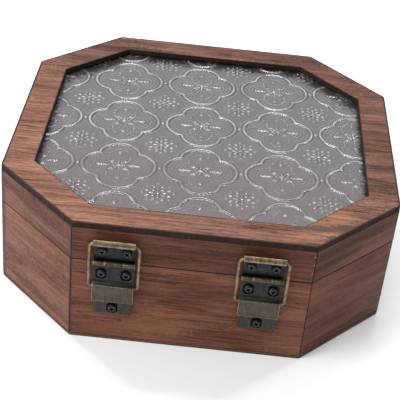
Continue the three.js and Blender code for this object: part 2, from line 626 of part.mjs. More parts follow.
// Butt hinges with a stop. The upper leaf's middle knuckle carries a lug whose underside comes to lie
// against the lower leaf when the lid is fully open.
function hingeLeafGeometry(upper) {
  const direction = upper ? 1 : -1;
  const near = seamZ + direction * (HINGE_KNUCKLE_RADIUS + HINGE_LEAF_GAP);
  const far = near + direction * HINGE_LEAF;
  const lap = near + direction * SHEET;
  const leaf = runAlongX(rectangle(0, Math.min(near, far), SHEET, Math.max(near, far)),
    -fittingHalf, fittingHalf, 'back');
  const middle = HINGE_KNUCKLE_WIDTH / 2;
  const outside = middle + KNUCKLE_GAP;
  const spans = upper ? [[-middle, middle]] : [[-fittingHalf, -outside], [outside, fittingHalf]];
  const knuckles = spans.flatMap(([from, to]) => [
    runAlongX(circle([hingeAxisOut, seamZ], HINGE_KNUCKLE_RADIUS), from, to, 'back'),
    runAlongX(rectangle(0, Math.min(seamZ, lap), SHEET, Math.max(seamZ, lap)), from, to, 'back'),
  ]);
  const pastUpright = LID_OPENS - Math.PI / 2;
  const room = hingeAxisOut - SHEET - STOP_GAP - STOP_REACH * Math.sin(pastUpright);
  const lugBottom = seamZ - room / Math.cos(pastUpright);
  const lugEnd = hingeAxisOut + STOP_REACH;
  const lug = runAlongX(rectangle(hingeAxisOut, lugBottom, lugEnd, lugBottom + STOP_THICK),
    -STOP_WIDTH / 2, STOP_WIDTH / 2, 'back');
  const bore = runAlongX(circle([hingeAxisOut, seamZ], PIN_RADIUS + PIN_CLEARANCE),
    -fittingHalf, fittingHalf, 'back');
  const screws = hingeScrews.filter((screw) => screw.on === (upper ? 'lid' : 'base'));
  const holes = screws.map((screw) => screwHole(screw.x, screw.z, 'back'));
  return cut(join([leaf, ...knuckles, ...(upper ? [lug] : [])]), [bore, ...holes]);
}

for (const hinge of hinges) {
  const group = new THREE.Group();
  group.position.set(hinge.x, DEPTH / 2, 0);
  addPiece(`${hinge.name}_lower_leaf`, hingeLeafGeometry(false), BRONZE, group);
  addPiece(`${hinge.name}_upper_leaf`, hingeLeafGeometry(true), BRONZE, group);
  addPiece(`${hinge.name}_pin`, pinGeometry(hingeAxisOut, seamZ, 'back'), DARK_STEEL, group);
  addScrews(hingeScrews, hinge.name, 'back', group);
  box.add(group);
}

export default box;
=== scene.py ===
"""Octagonal walnut box with a pressed glass lid: its looks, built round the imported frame. Metres, +Z up."""
import json
import math

import bmesh
import bpy
import numpy as np
from mathutils import Matrix, Vector


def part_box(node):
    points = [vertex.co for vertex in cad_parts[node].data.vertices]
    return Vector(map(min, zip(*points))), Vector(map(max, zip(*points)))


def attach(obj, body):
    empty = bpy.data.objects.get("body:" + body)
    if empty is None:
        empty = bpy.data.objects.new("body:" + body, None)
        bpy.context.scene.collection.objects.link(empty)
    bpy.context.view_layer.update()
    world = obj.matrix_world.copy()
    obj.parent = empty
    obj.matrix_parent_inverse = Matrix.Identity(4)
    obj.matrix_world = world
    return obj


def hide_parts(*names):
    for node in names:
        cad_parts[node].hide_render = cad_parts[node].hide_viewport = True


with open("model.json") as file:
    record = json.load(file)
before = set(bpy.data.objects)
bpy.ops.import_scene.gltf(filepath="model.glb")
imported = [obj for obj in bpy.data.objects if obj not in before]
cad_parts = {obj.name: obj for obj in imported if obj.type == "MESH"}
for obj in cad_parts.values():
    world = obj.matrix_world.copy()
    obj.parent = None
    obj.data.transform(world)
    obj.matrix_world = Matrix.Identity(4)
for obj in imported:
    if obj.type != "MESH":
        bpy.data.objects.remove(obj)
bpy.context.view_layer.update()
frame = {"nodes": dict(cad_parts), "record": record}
MM = 0.001

# The camera stands where the photograph was taken from: in front of the box, about 34 degrees above it, and
# rolled a little to the right. Its focal length is in pixels of the photograph.
PHOTO_PIXELS = 400
CAMERA_FOCUS_PIXELS = 1121.8
CAMERA_PLACE = Vector((2.64, -520.88, 378.59)) * MM
CAMERA_AZIMUTH = math.radians(0.28)
CAMERA_ELEVATION = math.radians(34.34)
CAMERA_ROLL = math.radians(5.83)
SENSOR = 36.0


def add_object(name, data):
    """A new object in the scene."""
    made = bpy.data.objects.new(name, data)
    bpy.context.scene.collection.objects.link(made)
    return made


camera_data = bpy.data.cameras.new("camera")
camera_data.sensor_width = SENSOR
camera_data.lens = CAMERA_FOCUS_PIXELS / PHOTO_PIXELS * SENSOR
camera_data.clip_start = 0.01
camera = add_object("camera", camera_data)
back = Vector((
    math.sin(CAMERA_AZIMUTH) * math.cos(CAMERA_ELEVATION),
    -math.cos(CAMERA_AZIMUTH) * math.cos(CAMERA_ELEVATION),
    math.sin(CAMERA_ELEVATION),
))
level = (-back).cross(Vector((0, 0, 1))).normalized()
upright = level.cross(-back)
right = math.cos(CAMERA_ROLL) * level + math.sin(CAMERA_ROLL) * upright
up = -math.sin(CAMERA_ROLL) * level + math.cos(CAMERA_ROLL) * upright
camera.matrix_world = Matrix.Translation(CAMERA_PLACE) @ Matrix((right, up, back)).transposed().to_4x4()
bpy.context.scene.camera = camera


# The bottom board: one thin octagon of walnut with broken edges, glued under the walls. Its underside is the
# foot that the box stands on, so it is plain and a little darker.
MILLIMETRES = 1000.0
BURNT = (0.022, 0.012, 0.009)
SOOT = (0.060, 0.032, 0.024)
UNDERSIDE_LIGHT = (0.150, 0.070, 0.045)
UNDERSIDE_DARK = (0.070, 0.030, 0.020)
EDGE_LIGHT = (0.150, 0.070, 0.045)
EDGE_DARK = (0.055, 0.024, 0.016)
BOARD_BEVEL = 0.25 * MM
PORE_SHADE = (0.40, 0.32, 0.29)
SAME_PLACE = 0.002 * MM       # corners closer than this are one
FLAT = 0.85                   # a face is flat where its normal leans less than this from the axis
UPRIGHT = 0.2                 # and upright where it hardly leans up or down


def new_group(name, sockets):
    """A shader node group with named inputs and outputs, given as (name, type, default) or (name, type)."""
    group = bpy.data.node_groups.new(name, "ShaderNodeTree")
    for socket in sockets:
        kind = "OUTPUT" if len(socket) == 2 else "INPUT"
        made = group.interface.new_socket(socket[0], in_out=kind, socket_type="NodeSocket" + socket[1])
        if len(socket) == 3 and socket[2] is not None:
            made.default_value = socket[2]
    return group, group.nodes.new("NodeGroupInput"), group.nodes.new("NodeGroupOutput")


def feed(tree, node, inputs):
    """Gives a node its inputs, as (socket, value or other socket)."""
    for socket, value in inputs:
        if isinstance(value, bpy.types.NodeSocket):
            tree.links.new(value, node.inputs[socket])
        else:
            node.inputs[socket].default_value = value
    return node


def add_node(tree, kind, inputs=(), **settings):
    """A node with its settings and inputs."""
    node = tree.nodes.new("ShaderNode" + kind)
    for name, value in settings.items():
        setattr(node, name, value)
    return feed(tree, node, inputs)


def sums(tree, operation, first, second):
    """One step of arithmetic on values or sockets."""
    return add_node(tree, "Math", ((0, first), (1, second)), operation=operation).outputs[0]


def blend_colours(tree, factor, first, second, mode="MIX"):
    """One colour over another by a factor. Colours are tuples or sockets."""
    under, over = (shade if isinstance(shade, bpy.types.NodeSocket) else (*shade, 1.0)
                   for shade in (first, second))
    inputs = ((0, factor), (6, under), (7, over))
    return add_node(tree, "Mix", inputs, data_type="RGBA", blend_type=mode).outputs[2]


def remap(tree, value, low, high, to_low=0.0, to_high=1.0, smooth=True):
    """A value's range low to high becomes to_low to to_high, and stays between them."""
    kind = "SMOOTHSTEP" if smooth else "LINEAR"
    inputs = enumerate((value, low, high, to_low, to_high))
    return add_node(tree, "MapRange", inputs, interpolation_type=kind).outputs[0]


def noise(tree, place, scale, detail=2.0, roughness=0.5, distortion=0.0):
    """Noise on a vector that is first stretched by a scale for each axis."""
    spread = add_node(tree, "VectorMath", ((0, place), (1, scale)), operation="MULTIPLY")
    return add_node(tree, "TexNoise", (("Vector", spread.outputs[0]), ("Scale", 1.0), ("Detail", detail),
                                       ("Roughness", roughness), ("Distortion", distortion))).outputs[0]


def wander(tree, place, scale, swing, detail=2.0, roughness=0.5):
    """A slow wave between -swing and swing that makes an edge ragged."""
    source = noise(tree, place, scale, detail, roughness)
    return remap(tree, source, 0.3, 0.7, -swing, swing, smooth=False)


def bumped(tree, height, strength, distance):
    """The normal of a surface that a height roughens, over a distance in millimetres."""
    inputs = (("Strength", strength), ("Distance", distance * MM), ("Height", height))
    return add_node(tree, "Bump", inputs).outputs[0]


def walnut_grain_group():
    """Bands, streaks, pores and mottling, with the grain along the incoming vector's X, in millimetres."""
    group, given, result = new_group("walnut grain", (
        ("Place", "Vector", None),
        ("Light", "Color", (0.3, 0.15, 0.1, 1)), ("Dark", "Color", (0.1, 0.05, 0.03, 1)),
        ("Bands", "Float", 1.6), ("Streaks", "Float", 1.6), ("Mottle", "Float", 0.5), ("Pores", "Float", 0.6),
        ("Colour", "Color"), ("Roughness", "Float"), ("Height", "Float"),
    ))
    place = given.outputs["Place"]
    bands = noise(group, place, (0.009, 0.075, 0.075), 3.0, 0.55, 0.6)
    streaks = noise(group, place, (0.026, 0.80, 0.80), 5.0, 0.72, 0.1)
    mottle = noise(group, place, (0.5, 1.1, 1.1), 3.0, 0.65)
    pores = remap(group, noise(group, place, (0.085, 1.75, 1.75), 2.0, 0.55), 0.54, 0.63)
    tone = 0.5
    for source, share in ((bands, "Bands"), (streaks, "Streaks"), (mottle, "Mottle")):
        swing = sums(group, "MULTIPLY", sums(group, "SUBTRACT", source, 0.5), given.outputs[share])
        tone = sums(group, "ADD", tone, swing)
    colour = blend_colours(group, remap(group, tone, 0.0, 1.0, smooth=False), given.outputs["Dark"],
                           given.outputs["Light"])
    pored = blend_colours(group, 1.0, colour, PORE_SHADE, "MULTIPLY")
    colour = blend_colours(group, sums(group, "MULTIPLY", pores, given.outputs["Pores"]), colour, pored)
    group.links.new(colour, result.inputs["Colour"])
    group.links.new(remap(group, tone, 0.2, 0.8, 0.68, 0.55), result.inputs["Roughness"])
    height = sums(group, "SUBTRACT", sums(group, "MULTIPLY", streaks, 0.5), pores)
    group.links.new(height, result.inputs["Height"])
    return group


def ragged_spot_group():
    """A ragged spot: 1 in the middle of an ellipse and 0 outside it, on a place in millimetres."""
    group, given, result = new_group("ragged spot", (
        ("Place", "Vector", None), ("Middle", "Vector", (0, 0, 0)), ("Spread", "Vector", (1, 1, 1)),
        ("Mask", "Float"),
    ))
    place, middle, spread = (given.outputs[name] for name in ("Place", "Middle", "Spread"))
    apart = add_node(group, "VectorMath", ((0, place), (1, middle)), operation="SUBTRACT").outputs[0]
    scaled = add_node(group, "VectorMath", ((0, apart), (1, spread)), operation="DIVIDE").outputs[0]
    distance = add_node(group, "VectorMath", ((0, scaled),), operation="LENGTH").outputs["Value"]
    ragged = sums(group, "ADD", distance, wander(group, place, (0.5, 0.5, 0.5), 0.45, 3.0, 0.7))
    group.links.new(remap(group, ragged, 0.45, 1.05, 1.0, 0.0), result.inputs["Mask"])
    return group


def scorched_ends_group():
    """The burnt strips at both ends of a board: 1 on them and 0 between, in millimetres along X."""
    group, given, result = new_group("scorched ends", (
        ("Place", "Vector", None), ("Half", "Float", 40.0), ("Left", "Float", 0.35),
        ("Right", "Float", 0.35), ("Mask", "Float"),
    ))
    place = given.outputs["Place"]
    along = add_node(group, "SeparateXYZ", ((0, place),)).outputs[0]
    wave = wander(group, place, (1.2, 1.2, 0.45), 0.18)
    masks = []
    for sign, width in ((-1.0, "Left"), (1.0, "Right")):
        inside = sums(group, "ADD", sums(group, "MULTIPLY", along, sign), wave)
        start = sums(group, "SUBTRACT", given.outputs["Half"], given.outputs[width])
        low, high = sums(group, "SUBTRACT", start, 0.3), sums(group, "ADD", start, 0.2)
        masks.append(remap(group, inside, low, high))
    group.links.new(sums(group, "MAXIMUM", *masks), result.inputs["Mask"])
    return group


walnut_grain = walnut_grain_group()
ragged_spot = ragged_spot_group()
scorched_ends = scorched_ends_group()


def turned_place(tree, turn):
    """Object coordinates in millimetres, turned about Z so that X runs along the board."""
    own = add_node(tree, "TexCoord").outputs["Object"]
    mapping = (("Vector", own), ("Rotation", (0, 0, -turn)), ("Scale", (MILLIMETRES,) * 3))
    return add_node(tree, "Mapping", mapping).outputs[0]


def shaded_material(name, viewport):
    """A material with one Principled shader, and that shader."""
    material = bpy.data.materials.new(name)
    material.use_nodes = True
    material.diffuse_color = (*viewport, 1.0)
    return material, material.node_tree, material.node_tree.nodes["Principled BSDF"]


def use_group(tree, group, inputs):
    """A node group placed in a tree with its own values."""
    return feed(tree, add_node(tree, "Group", node_tree=group), inputs)


def octagon_of(places):
    """Half width, half depth and half diagonal width of the octagon round places in plan."""
    return (max(abs(place.x) for place in places), max(abs(place.y) for place in places),
            max(abs(place.x) + abs(place.y) for place in places) / math.sqrt(2))


def octagon_distance(tree, place, octagon):
    """How far a place is outside an octagon: below 0 inside it."""
    both = add_node(tree, "VectorMath", ((0, place),), operation="ABSOLUTE").outputs[0]
    parts = add_node(tree, "SeparateXYZ", ((0, both),)).outputs
    diagonal = sums(tree, "MULTIPLY", sums(tree, "ADD", parts[0], parts[1]), 1 / math.sqrt(2))
    wide, deep, slanted = (sums(tree, "SUBTRACT", part, half)
                           for part, half in zip((parts[0], parts[1], diagonal), octagon))
    return sums(tree, "MAXIMUM", sums(tree, "MAXIMUM", wide, deep), slanted)


def walnut(name, turn, light, dark, offset, ends=None, spots=(), figure=(1.6, 1.6, 0.5, 0.6), rims=()):
    """Oiled walnut with its grain along a board that is turned by an angle about Z.

    ends holds half the board's length, and the widths of the burnt strips at its left and right end. Each
    spot is a middle, a spread, a colour, a strength and how it mixes. figure holds the strengths of bands,
    streaks, mottling and pores. Each rim is an octagon, 1 for its inside or -1 for its outside, and the width
    that is scorched along it.
    """
    material, tree, shader = shaded_material(name, light)
    place = turned_place(tree, turn)
    moved = add_node(tree, "VectorMath", ((0, place), (1, offset)), operation="ADD").outputs[0]
    grain = use_group(tree, walnut_grain, (("Place", moved), ("Light", (*light, 1.0)), ("Dark", (*dark, 1.0)),
                                           *zip(("Bands", "Streaks", "Mottle", "Pores"), figure)))
    colour = grain.outputs["Colour"]
    for middle, spread, shade, strength, mode in spots:
        spot = use_group(tree, ragged_spot, (("Place", place), ("Middle", middle), ("Spread", spread)))
        mask = sums(tree, "MULTIPLY", spot.outputs["Mask"], strength)
        colour = blend_colours(tree, mask, colour, shade, mode)
    if ends:
        strips = use_group(tree, scorched_ends, (("Place", place), *zip(("Half", "Left", "Right"), ends)))
        colour = blend_colours(tree, strips.outputs["Mask"], colour, SOOT)
    for octagon, sign, width in rims:
        distance = sums(tree, "MULTIPLY", octagon_distance(tree, place, octagon), sign)
        ragged = sums(tree, "ADD", distance, wander(tree, place, (0.7, 0.7, 0.7), 0.2))
        scorched = remap(tree, ragged, -width - 0.3, -width + 0.2)
        colour = blend_colours(tree, scorched, colour, BURNT)
    feed(tree, shader, (
        ("Base Color", colour), ("Roughness", grain.outputs["Roughness"]), ("Specular IOR Level", 0.22),
        ("Normal", bumped(tree, grain.outputs["Height"], 0.35, 0.12)),
    ))
    return material


def burnt_edge(name):
    """A laser cut through wood: soot brown, dull, with faint upright striping."""
    material, tree, shader = shaded_material(name, BURNT)
    place = turned_place(tree, 0.0)
    stripes = noise(tree, place, (0.6, 0.6, 0.12), 3.0)
    feed(tree, shader, (
        ("Base Color", blend_colours(tree, remap(tree, stripes, 0.35, 0.75, 0.0, 0.3), BURNT, SOOT)),
        ("Roughness", remap(tree, stripes, 0.3, 0.7, 0.85, 0.7)), ("Specular IOR Level", 0.08),
    ))
    return material


def cad_copy(node, name):
    """A merged copy of a CAD node's mesh, with its flat faces whole again."""
    mesh = frame["nodes"][node].data.copy()
    work = bmesh.new()
    work.from_mesh(mesh)
    bmesh.ops.remove_doubles(work, verts=work.verts, dist=SAME_PLACE)
    bmesh.ops.dissolve_limit(work, angle_limit=math.radians(1.0), verts=work.verts, edges=work.edges)
    work.to_mesh(mesh)
    work.free()
    mesh.materials.clear()
    for layer_name in [layer.name for layer in mesh.uv_layers]:
        mesh.uv_layers.remove(mesh.uv_layers[layer_name])
    return add_object(name, mesh)


def apply_modifiers(piece):
    """The evaluated mesh takes the place of the piece's own, and its modifiers go."""
    graph = bpy.context.evaluated_depsgraph_get()
    finished = bpy.data.meshes.new_from_object(piece.evaluated_get(graph))
    piece.modifiers.clear()
    old = piece.data
    piece.data = finished
    bpy.data.meshes.remove(old)


def soften(piece, width, angle=30.0):
    """Breaks the edges of a piece where its faces meet at more than the angle."""
    bevel = piece.modifiers.new("broken edges", "BEVEL")
    bevel.width = width
    bevel.segments = 2
    bevel.limit_method = "ANGLE"
    bevel.angle_limit = math.radians(angle)
    apply_modifiers(piece)


def face_materials(piece, materials, choose):
    """Gives each face the material whose number choose(normal) returns."""
    for material in materials:
        piece.data.materials.append(material)
    for face in piece.data.polygons:
        face.material_index = choose(face.normal)


def smooth_by_angle(piece, degrees):
    """Smooth faces with sharp edges kept where they meet at more than the angle."""
    piece.data.polygons.foreach_set("use_smooth", [True] * len(piece.data.polygons))
    piece.data.set_sharp_from_angle(angle=math.radians(degrees))


def mesh_of(work, name):
    """A mesh with the faces of a bmesh turned outward. The bmesh is freed."""
    bmesh.ops.recalc_face_normals(work, faces=work.faces)
    mesh = bpy.data.meshes.new(name)
    work.to_mesh(mesh)
    work.free()
    return mesh


def finish_piece(piece, body, slot, *nodes):
    """A piece rides on its body and stands for CAD nodes, which it hides. slot is not used."""
    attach(piece, body)
    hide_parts(*nodes)


burnt = burnt_edge("burnt edge")
underside_walnut = walnut("walnut underside", 0.0, UNDERSIDE_LIGHT, UNDERSIDE_DARK, (31, 17, 5))
edge_walnut = walnut("walnut board edge", 0.0, EDGE_LIGHT, EDGE_DARK, (3, 29, 8),
                     figure=(1.0, 1.6, 0.4, 0.4))

bottom_board = cad_copy("bottom_board", "bottom_board_walnut")
soften(bottom_board, BOARD_BEVEL)
face_materials(bottom_board, [underside_walnut, edge_walnut, burnt],
               lambda normal: 0 if abs(normal.z) > FLAT else 1 if abs(normal.z) < UPRIGHT else 2)
finish_piece(bottom_board, "base", "walnut_plain", "bottom_board")


# The walls: sixteen walnut boards, mitred and glued in two rings of eight, cut apart at the seam. The grain
# runs level, and the cut ends are burnt, most of all at the front left corner.
WALL_ENDS = {
    "front": (0.65, 0.2), "front_right": (0.3, 0.35), "right": (0.35, 0.35), "back_right": (0.35, 0.35),
    "back": (0.35, 0.35), "back_left": (0.35, 0.35), "left": (0.35, 0.35), "front_left": (0.35, 0.8),
}
# Light and dark of the grain, and how strong its bands, streaks, mottling and pores are. The light and
# dark are partly each board's own and partly painted light and shade: lighter on the front left and darker
# on the front right.
SIDE_TONES = {
    "front": ((0.204, 0.076, 0.040), (0.046, 0.012, 0.007), (1.7, 1.7, 0.7, 0.75)),
    "front_right": ((0.160, 0.059, 0.035), (0.046, 0.013, 0.008), (2.8, 0.8, 0.8, 0.45)),
    "front_left": ((0.212, 0.086, 0.052), (0.062, 0.022, 0.014), (2.6, 0.9, 1.3, 0.6)),
}
COMMON_TONE = ((0.185, 0.075, 0.046), (0.050, 0.018, 0.011), (1.8, 1.6, 0.7, 0.7))
# Painted shade: the lid's boards are darker than those under them.
LID_PAINTED_SHADE = {"front": 0.70, "front_left": 0.80}     # the lid's boards against those under them
LID_COMMON_SHADE = 0.92
CHIP = (0.34, 0.21, 0.12)
PALE_WOOD = (0.240, 0.105, 0.055)
DARK_PATCH = (0.034, 0.025, 0.020)
# Chips, dark patches and paler wood: middle and spread in the board's own frame, with its outer face near
# -98.
WALL_SPOTS = {
    "lid_wall_front": [((57.2, -98, 64.0), (0.5, 9, 0.7), CHIP, 0.8, "MIX"),
                       ((57.4, -98, 59.4), (0.4, 9, 0.6), CHIP, 0.7, "MIX"),
                       ((57.1, -98, 54.2), (0.4, 9, 0.5), CHIP, 0.6, "MIX")],
    "base_wall_front": [((52.0, -98, 16.0), (13.0, 9, 20.0), PALE_WOOD, 0.22, "MIX"),
                        ((-16.0, -98, 12.0), (24.0, 9, 8.0), PALE_WOOD, 0.35, "MIX")],
    "base_wall_front_left": [((-8.0, -98, 22.0), (24.0, 9, 4.5), DARK_PATCH, 0.35, "MIX"),
                             ((12.0, -98, 34.0), (16.0, 9, 7.0), PALE_WOOD, 0.35, "MIX")],
    "lid_wall_front_right": [((-19.0, -98, 58.5), (13.0, 9, 5.0), PALE_WOOD, 0.6, "MIX"),
                             ((-25.5, -98, 50.6), (7.5, 9, 2.4), DARK_PATCH, 0.75, "MIX")],
}


def board_axes(turn):
    """Outward from a board that is turned by an angle, and along it."""
    return Vector((math.sin(turn), -math.cos(turn), 0)), Vector((math.cos(turn), math.sin(turn), 0))


for index, (side, (burn_left, burn_right)) in enumerate(WALL_ENDS.items()):
    turn = index * math.pi / 4
    outward, along = board_axes(turn)
    tones = SIDE_TONES.get(side, COMMON_TONE)
    for part, offset in (("base", (13.0 * index, 7.0, 0.0)), ("lid", (13.0 * index + 60.0, 11.0, 9.0))):
        node = f"{part}_wall_{side}"
        # The lid's boards are painted darker as shade.
        darker = LID_PAINTED_SHADE.get(side, LID_COMMON_SHADE) if part == "lid" else 1.0
        light, dark = (tuple(channel * darker for channel in shade) for shade in tones[:2])
        wall = cad_copy(node, f"{node}_walnut")
        reach = max(vertex.co.dot(along) for vertex in wall.data.vertices) / MM
        soften(wall, BOARD_BEVEL)
        wall_walnut = walnut(f"walnut {part} {side}", turn, light, dark, offset,
                             (reach, burn_left, burn_right), WALL_SPOTS.get(node, ()), tones[2])
        face_materials(wall, [wall_walnut, burnt],
                       lambda normal: 0 if abs(normal.dot(outward)) > FLAT else 1)
        finish_piece(wall, part, "walnut_side", node)


# The mitres: each joint between two boards of the base, and of the lid, is filled with glue that the soot of
# the cuts has darkened. It lies back from the boards' faces and edges.
GLUE_INSET = 0.4
GLUE_BITE = 0.03              # how far the glue soaks into each board
BLOCK_FACES = ((0, 1, 2, 3), (4, 5, 6, 7), (0, 1, 5, 4), (1, 2, 6, 5), (2, 3, 7, 6), (3, 0, 4, 7))


def board_end(node, outward, along, face):
    """The place at the end of a board, on its outer (1) or inner (-1) face, in plan and millimetres."""
    places = [vertex.co / MM for vertex in frame["nodes"][node].data.vertices]
    depth = max(place.dot(outward) * face for place in places)
    on_face = [place for place in places if place.dot(outward) * face > depth - 0.01]
    end = max(on_face, key=lambda place: place.dot(along))
    return Vector((end.x, end.y, 0))


def mitre_glue(body):
    """One mesh with the glue of all eight joints of a ring of boards."""
    work = bmesh.new()
    sides = list(WALL_ENDS)
    directions = [board_axes(index * math.pi / 4) for index in range(len(sides))]
    for index, side in enumerate(sides):
        after = (index + 1) % len(sides)
        low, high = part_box(f"{body}_wall_{side}")
        next_out, next_along = directions[after]
        corners = []
        for face in (1, -1):
            here = board_end(f"{body}_wall_{side}", *directions[index], face)
            there = board_end(f"{body}_wall_{sides[after]}", next_out, -next_along, face)
            corners.append((here, there))
        (outer_here, outer_there), (inner_here, inner_there) = corners
        inward = ((inner_here + inner_there) - (outer_here + outer_there)).normalized()
        across = Vector((-inward.y, inward.x, 0))
        half = abs((outer_there - outer_here).dot(across)) / 2 + GLUE_BITE
        outer = (outer_here + outer_there) / 2 + inward * GLUE_INSET
        inner = (inner_here + inner_there) / 2 - inward * GLUE_INSET
        plan = [end + across * half * way for end, way in ((outer, -1), (outer, 1), (inner, 1), (inner, -1))]
        ring = [work.verts.new(Vector((place.x, place.y, z)) * MM)
                for z in (low.z / MM + GLUE_INSET, high.z / MM - GLUE_INSET) for place in plan]
        for face in BLOCK_FACES:
            work.faces.new([ring[corner] for corner in face])
    mesh = mesh_of(work, f"{body}_mitre_glue")
    mesh.materials.append(burnt)
    return add_object(mesh.name, mesh)


for body in ("base", "lid"):
    glue = mitre_glue(body)
    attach(glue, body)


# The top frame: a single flat walnut board with an octagonal window, cut by laser and glued on the lid's
# walls. Its grain runs across the box on every side of the window, and its edges are burnt.
TOP_LIGHT = (0.305, 0.138, 0.088)
TOP_DARK = (0.048, 0.017, 0.011)
TOP_FIGURE = (2.1, 1.7, 0.8, 1.0)
DARK_GRAIN = (0.075, 0.034, 0.026)
FRAME_BEVEL = 0.3 * MM
RIM_APART = 5.0               # the window is at least this far inside the outline
SCORCH_OUTSIDE = 1.0          # widths that the cuts have scorched
SCORCH_WINDOW = 0.5
# darker over the right side of the top
DARKER_RIGHT = (0.50, 0.47, 0.46)
PALE_TOP = (0.420, 0.200, 0.110)
# painted shade over the back and the left of the top
TOP_PAINTED_SHADE = (0.58, 0.57, 0.60)
# Painted shade over the back and the left, darker over the right side, paler wood, a dark streak of grain
# and two dark patches: middle and spread, with the top face at 70.
TOP_SPOTS = [
    ((-66.0, 70.0, 70), (48.0, 36.0, 9), TOP_PAINTED_SHADE, 1.0, "MULTIPLY"),
    ((0.0, 92.0, 70), (90.0, 14.0, 9), TOP_PAINTED_SHADE, 0.7, "MULTIPLY"),
    ((66.0, 70.0, 70), (48.0, 36.0, 9), TOP_PAINTED_SHADE, 0.95, "MULTIPLY"),
    ((-90.0, 24.0, 70), (18.0, 28.0, 9), TOP_PAINTED_SHADE, 0.6, "MULTIPLY"),
    ((-90.0, -22.0, 70), (16.0, 50.0, 9), TOP_PAINTED_SHADE, 0.22, "MULTIPLY"),
    ((100.0, 20.0, 70), (42.0, 110.0, 5), DARKER_RIGHT, 0.68, "MULTIPLY"),
    ((70.5, -80.5, 70), (6.5, 3.6, 5), DARK_PATCH, 0.85, "MIX"),
    ((65.0, -89.5, 70), (3.5, 3.2, 5), DARK_PATCH, 0.75, "MIX"),
    ((68.0, -72.0, 70), (11.0, 6.5, 5), PALE_TOP, 0.3, "MIX"),
    ((60.0, -83.0, 70), (16.0, 3.4, 5), DARK_GRAIN, 0.85, "MIX"),
]

places = [vertex.co / MM for vertex in frame["nodes"]["top_frame"].data.vertices]
outline = octagon_of(places)
window = octagon_of([place for place in places if all(
    half < limit - RIM_APART for half, limit in zip(octagon_of([place]), outline))])
top_walnut = walnut("walnut top", 0.0, TOP_LIGHT, TOP_DARK, (4, 71, 3), spots=TOP_SPOTS, figure=TOP_FIGURE,
                    rims=[(outline, 1.0, SCORCH_OUTSIDE), (window, -1.0, SCORCH_WINDOW)])
top_frame = cad_copy("top_frame", "top_frame_walnut")
soften(top_frame, FRAME_BEVEL, angle=60.0)
face_materials(top_frame, [top_walnut, burnt], lambda normal: 0 if abs(normal.z) > FLAT else 1)
finish_piece(top_frame, "lid", "walnut_top", "top_frame")


# The glass: a clear pane with a rolled relief of quatrefoils, each with a flower of four petals in it, and a
# rosette between each four. It lies under the top frame.
FOIL_PITCH = (42.0, 45.0)
FOIL_TURN = math.radians(3.0)
FOIL_CENTRE = (-3.4, 7.3)
FOIL_SIDE = (7.1, 11.6)       # how far the lobes to the sides are from the middle, and their radius
FOIL_END = (10.5, 10.2)       # the same for the lobes to the front and the back
FOIL_SHOULDER = 0.35
PETAL = (7.6, 5.8, 7.4)       # distance, half width and half length
VEINS = 18                    # veins in a full circle
ARCS = (7.0, 1.9)             # distance of the arcs' middle, and how far apart they are
BAR = (8.2, 3.2, 0.7)         # distance, half length and half width
BEAN = (11.6, 1.3, 1.1)       # distance, half width and half length
# Rings of petals: height, number, radius, half width, sharpness, and how far the wave is shifted.
FLOWER_RINGS = ((0.70, 8, 2.5, 0.75, 1, 0.0), (0.60, 4, 4.7, 1.0, 2, np.pi))
ROSETTE_RINGS = ((0.6, 8, 3.2, 1.4, 1, 0.0), (0.5, 8, 5.9, 1.3, 1, np.pi), (0.4, 8, 7.9, 0.7, 3, 0.0))
GLASS_RELIEF = 0.8
GLASS_STEP = 0.56             # grid of the pressed pattern
GLASS_STEP_RIM = 3.0          # grid of the rim, which the frame covers but for its inner edge
COARSE_RIM = 11.0             # width of that rim
PANE_INSET = 6.5              # from the walls' outer faces in to the pane's edge
HALF_GLUE = 0.15              # half of the gap between two boards
GLASS_SHADE = (0.330, 0.306, 0.325)
# the front of the pane painted browner, for the box's floor seen through it
GLASS_PAINTED_FLOOR = (0.345, 0.300, 0.303)
# painted highlight on the crests of the relief
GLASS_PAINTED_HIGHLIGHT = (1.00, 1.00, 1.00)
# painted shade at the feet of the relief
GLASS_PAINTED_FOOT_SHADE = (0.15, 0.135, 0.14)
# painted shade along the pane's rim
GLASS_PAINTED_RIM = (0.030, 0.024, 0.020)
# The pane's rim is painted dark this far in from the window's edge, for the shaded walls of the lid seen
# through it: at the sides, front, back and slanted back.
RIM_WIDTH = (3.2, 2.0, 13.0, 13.0)
CREST_REACH = 0.45            # how far apart heights are compared to tell a crest from a foot


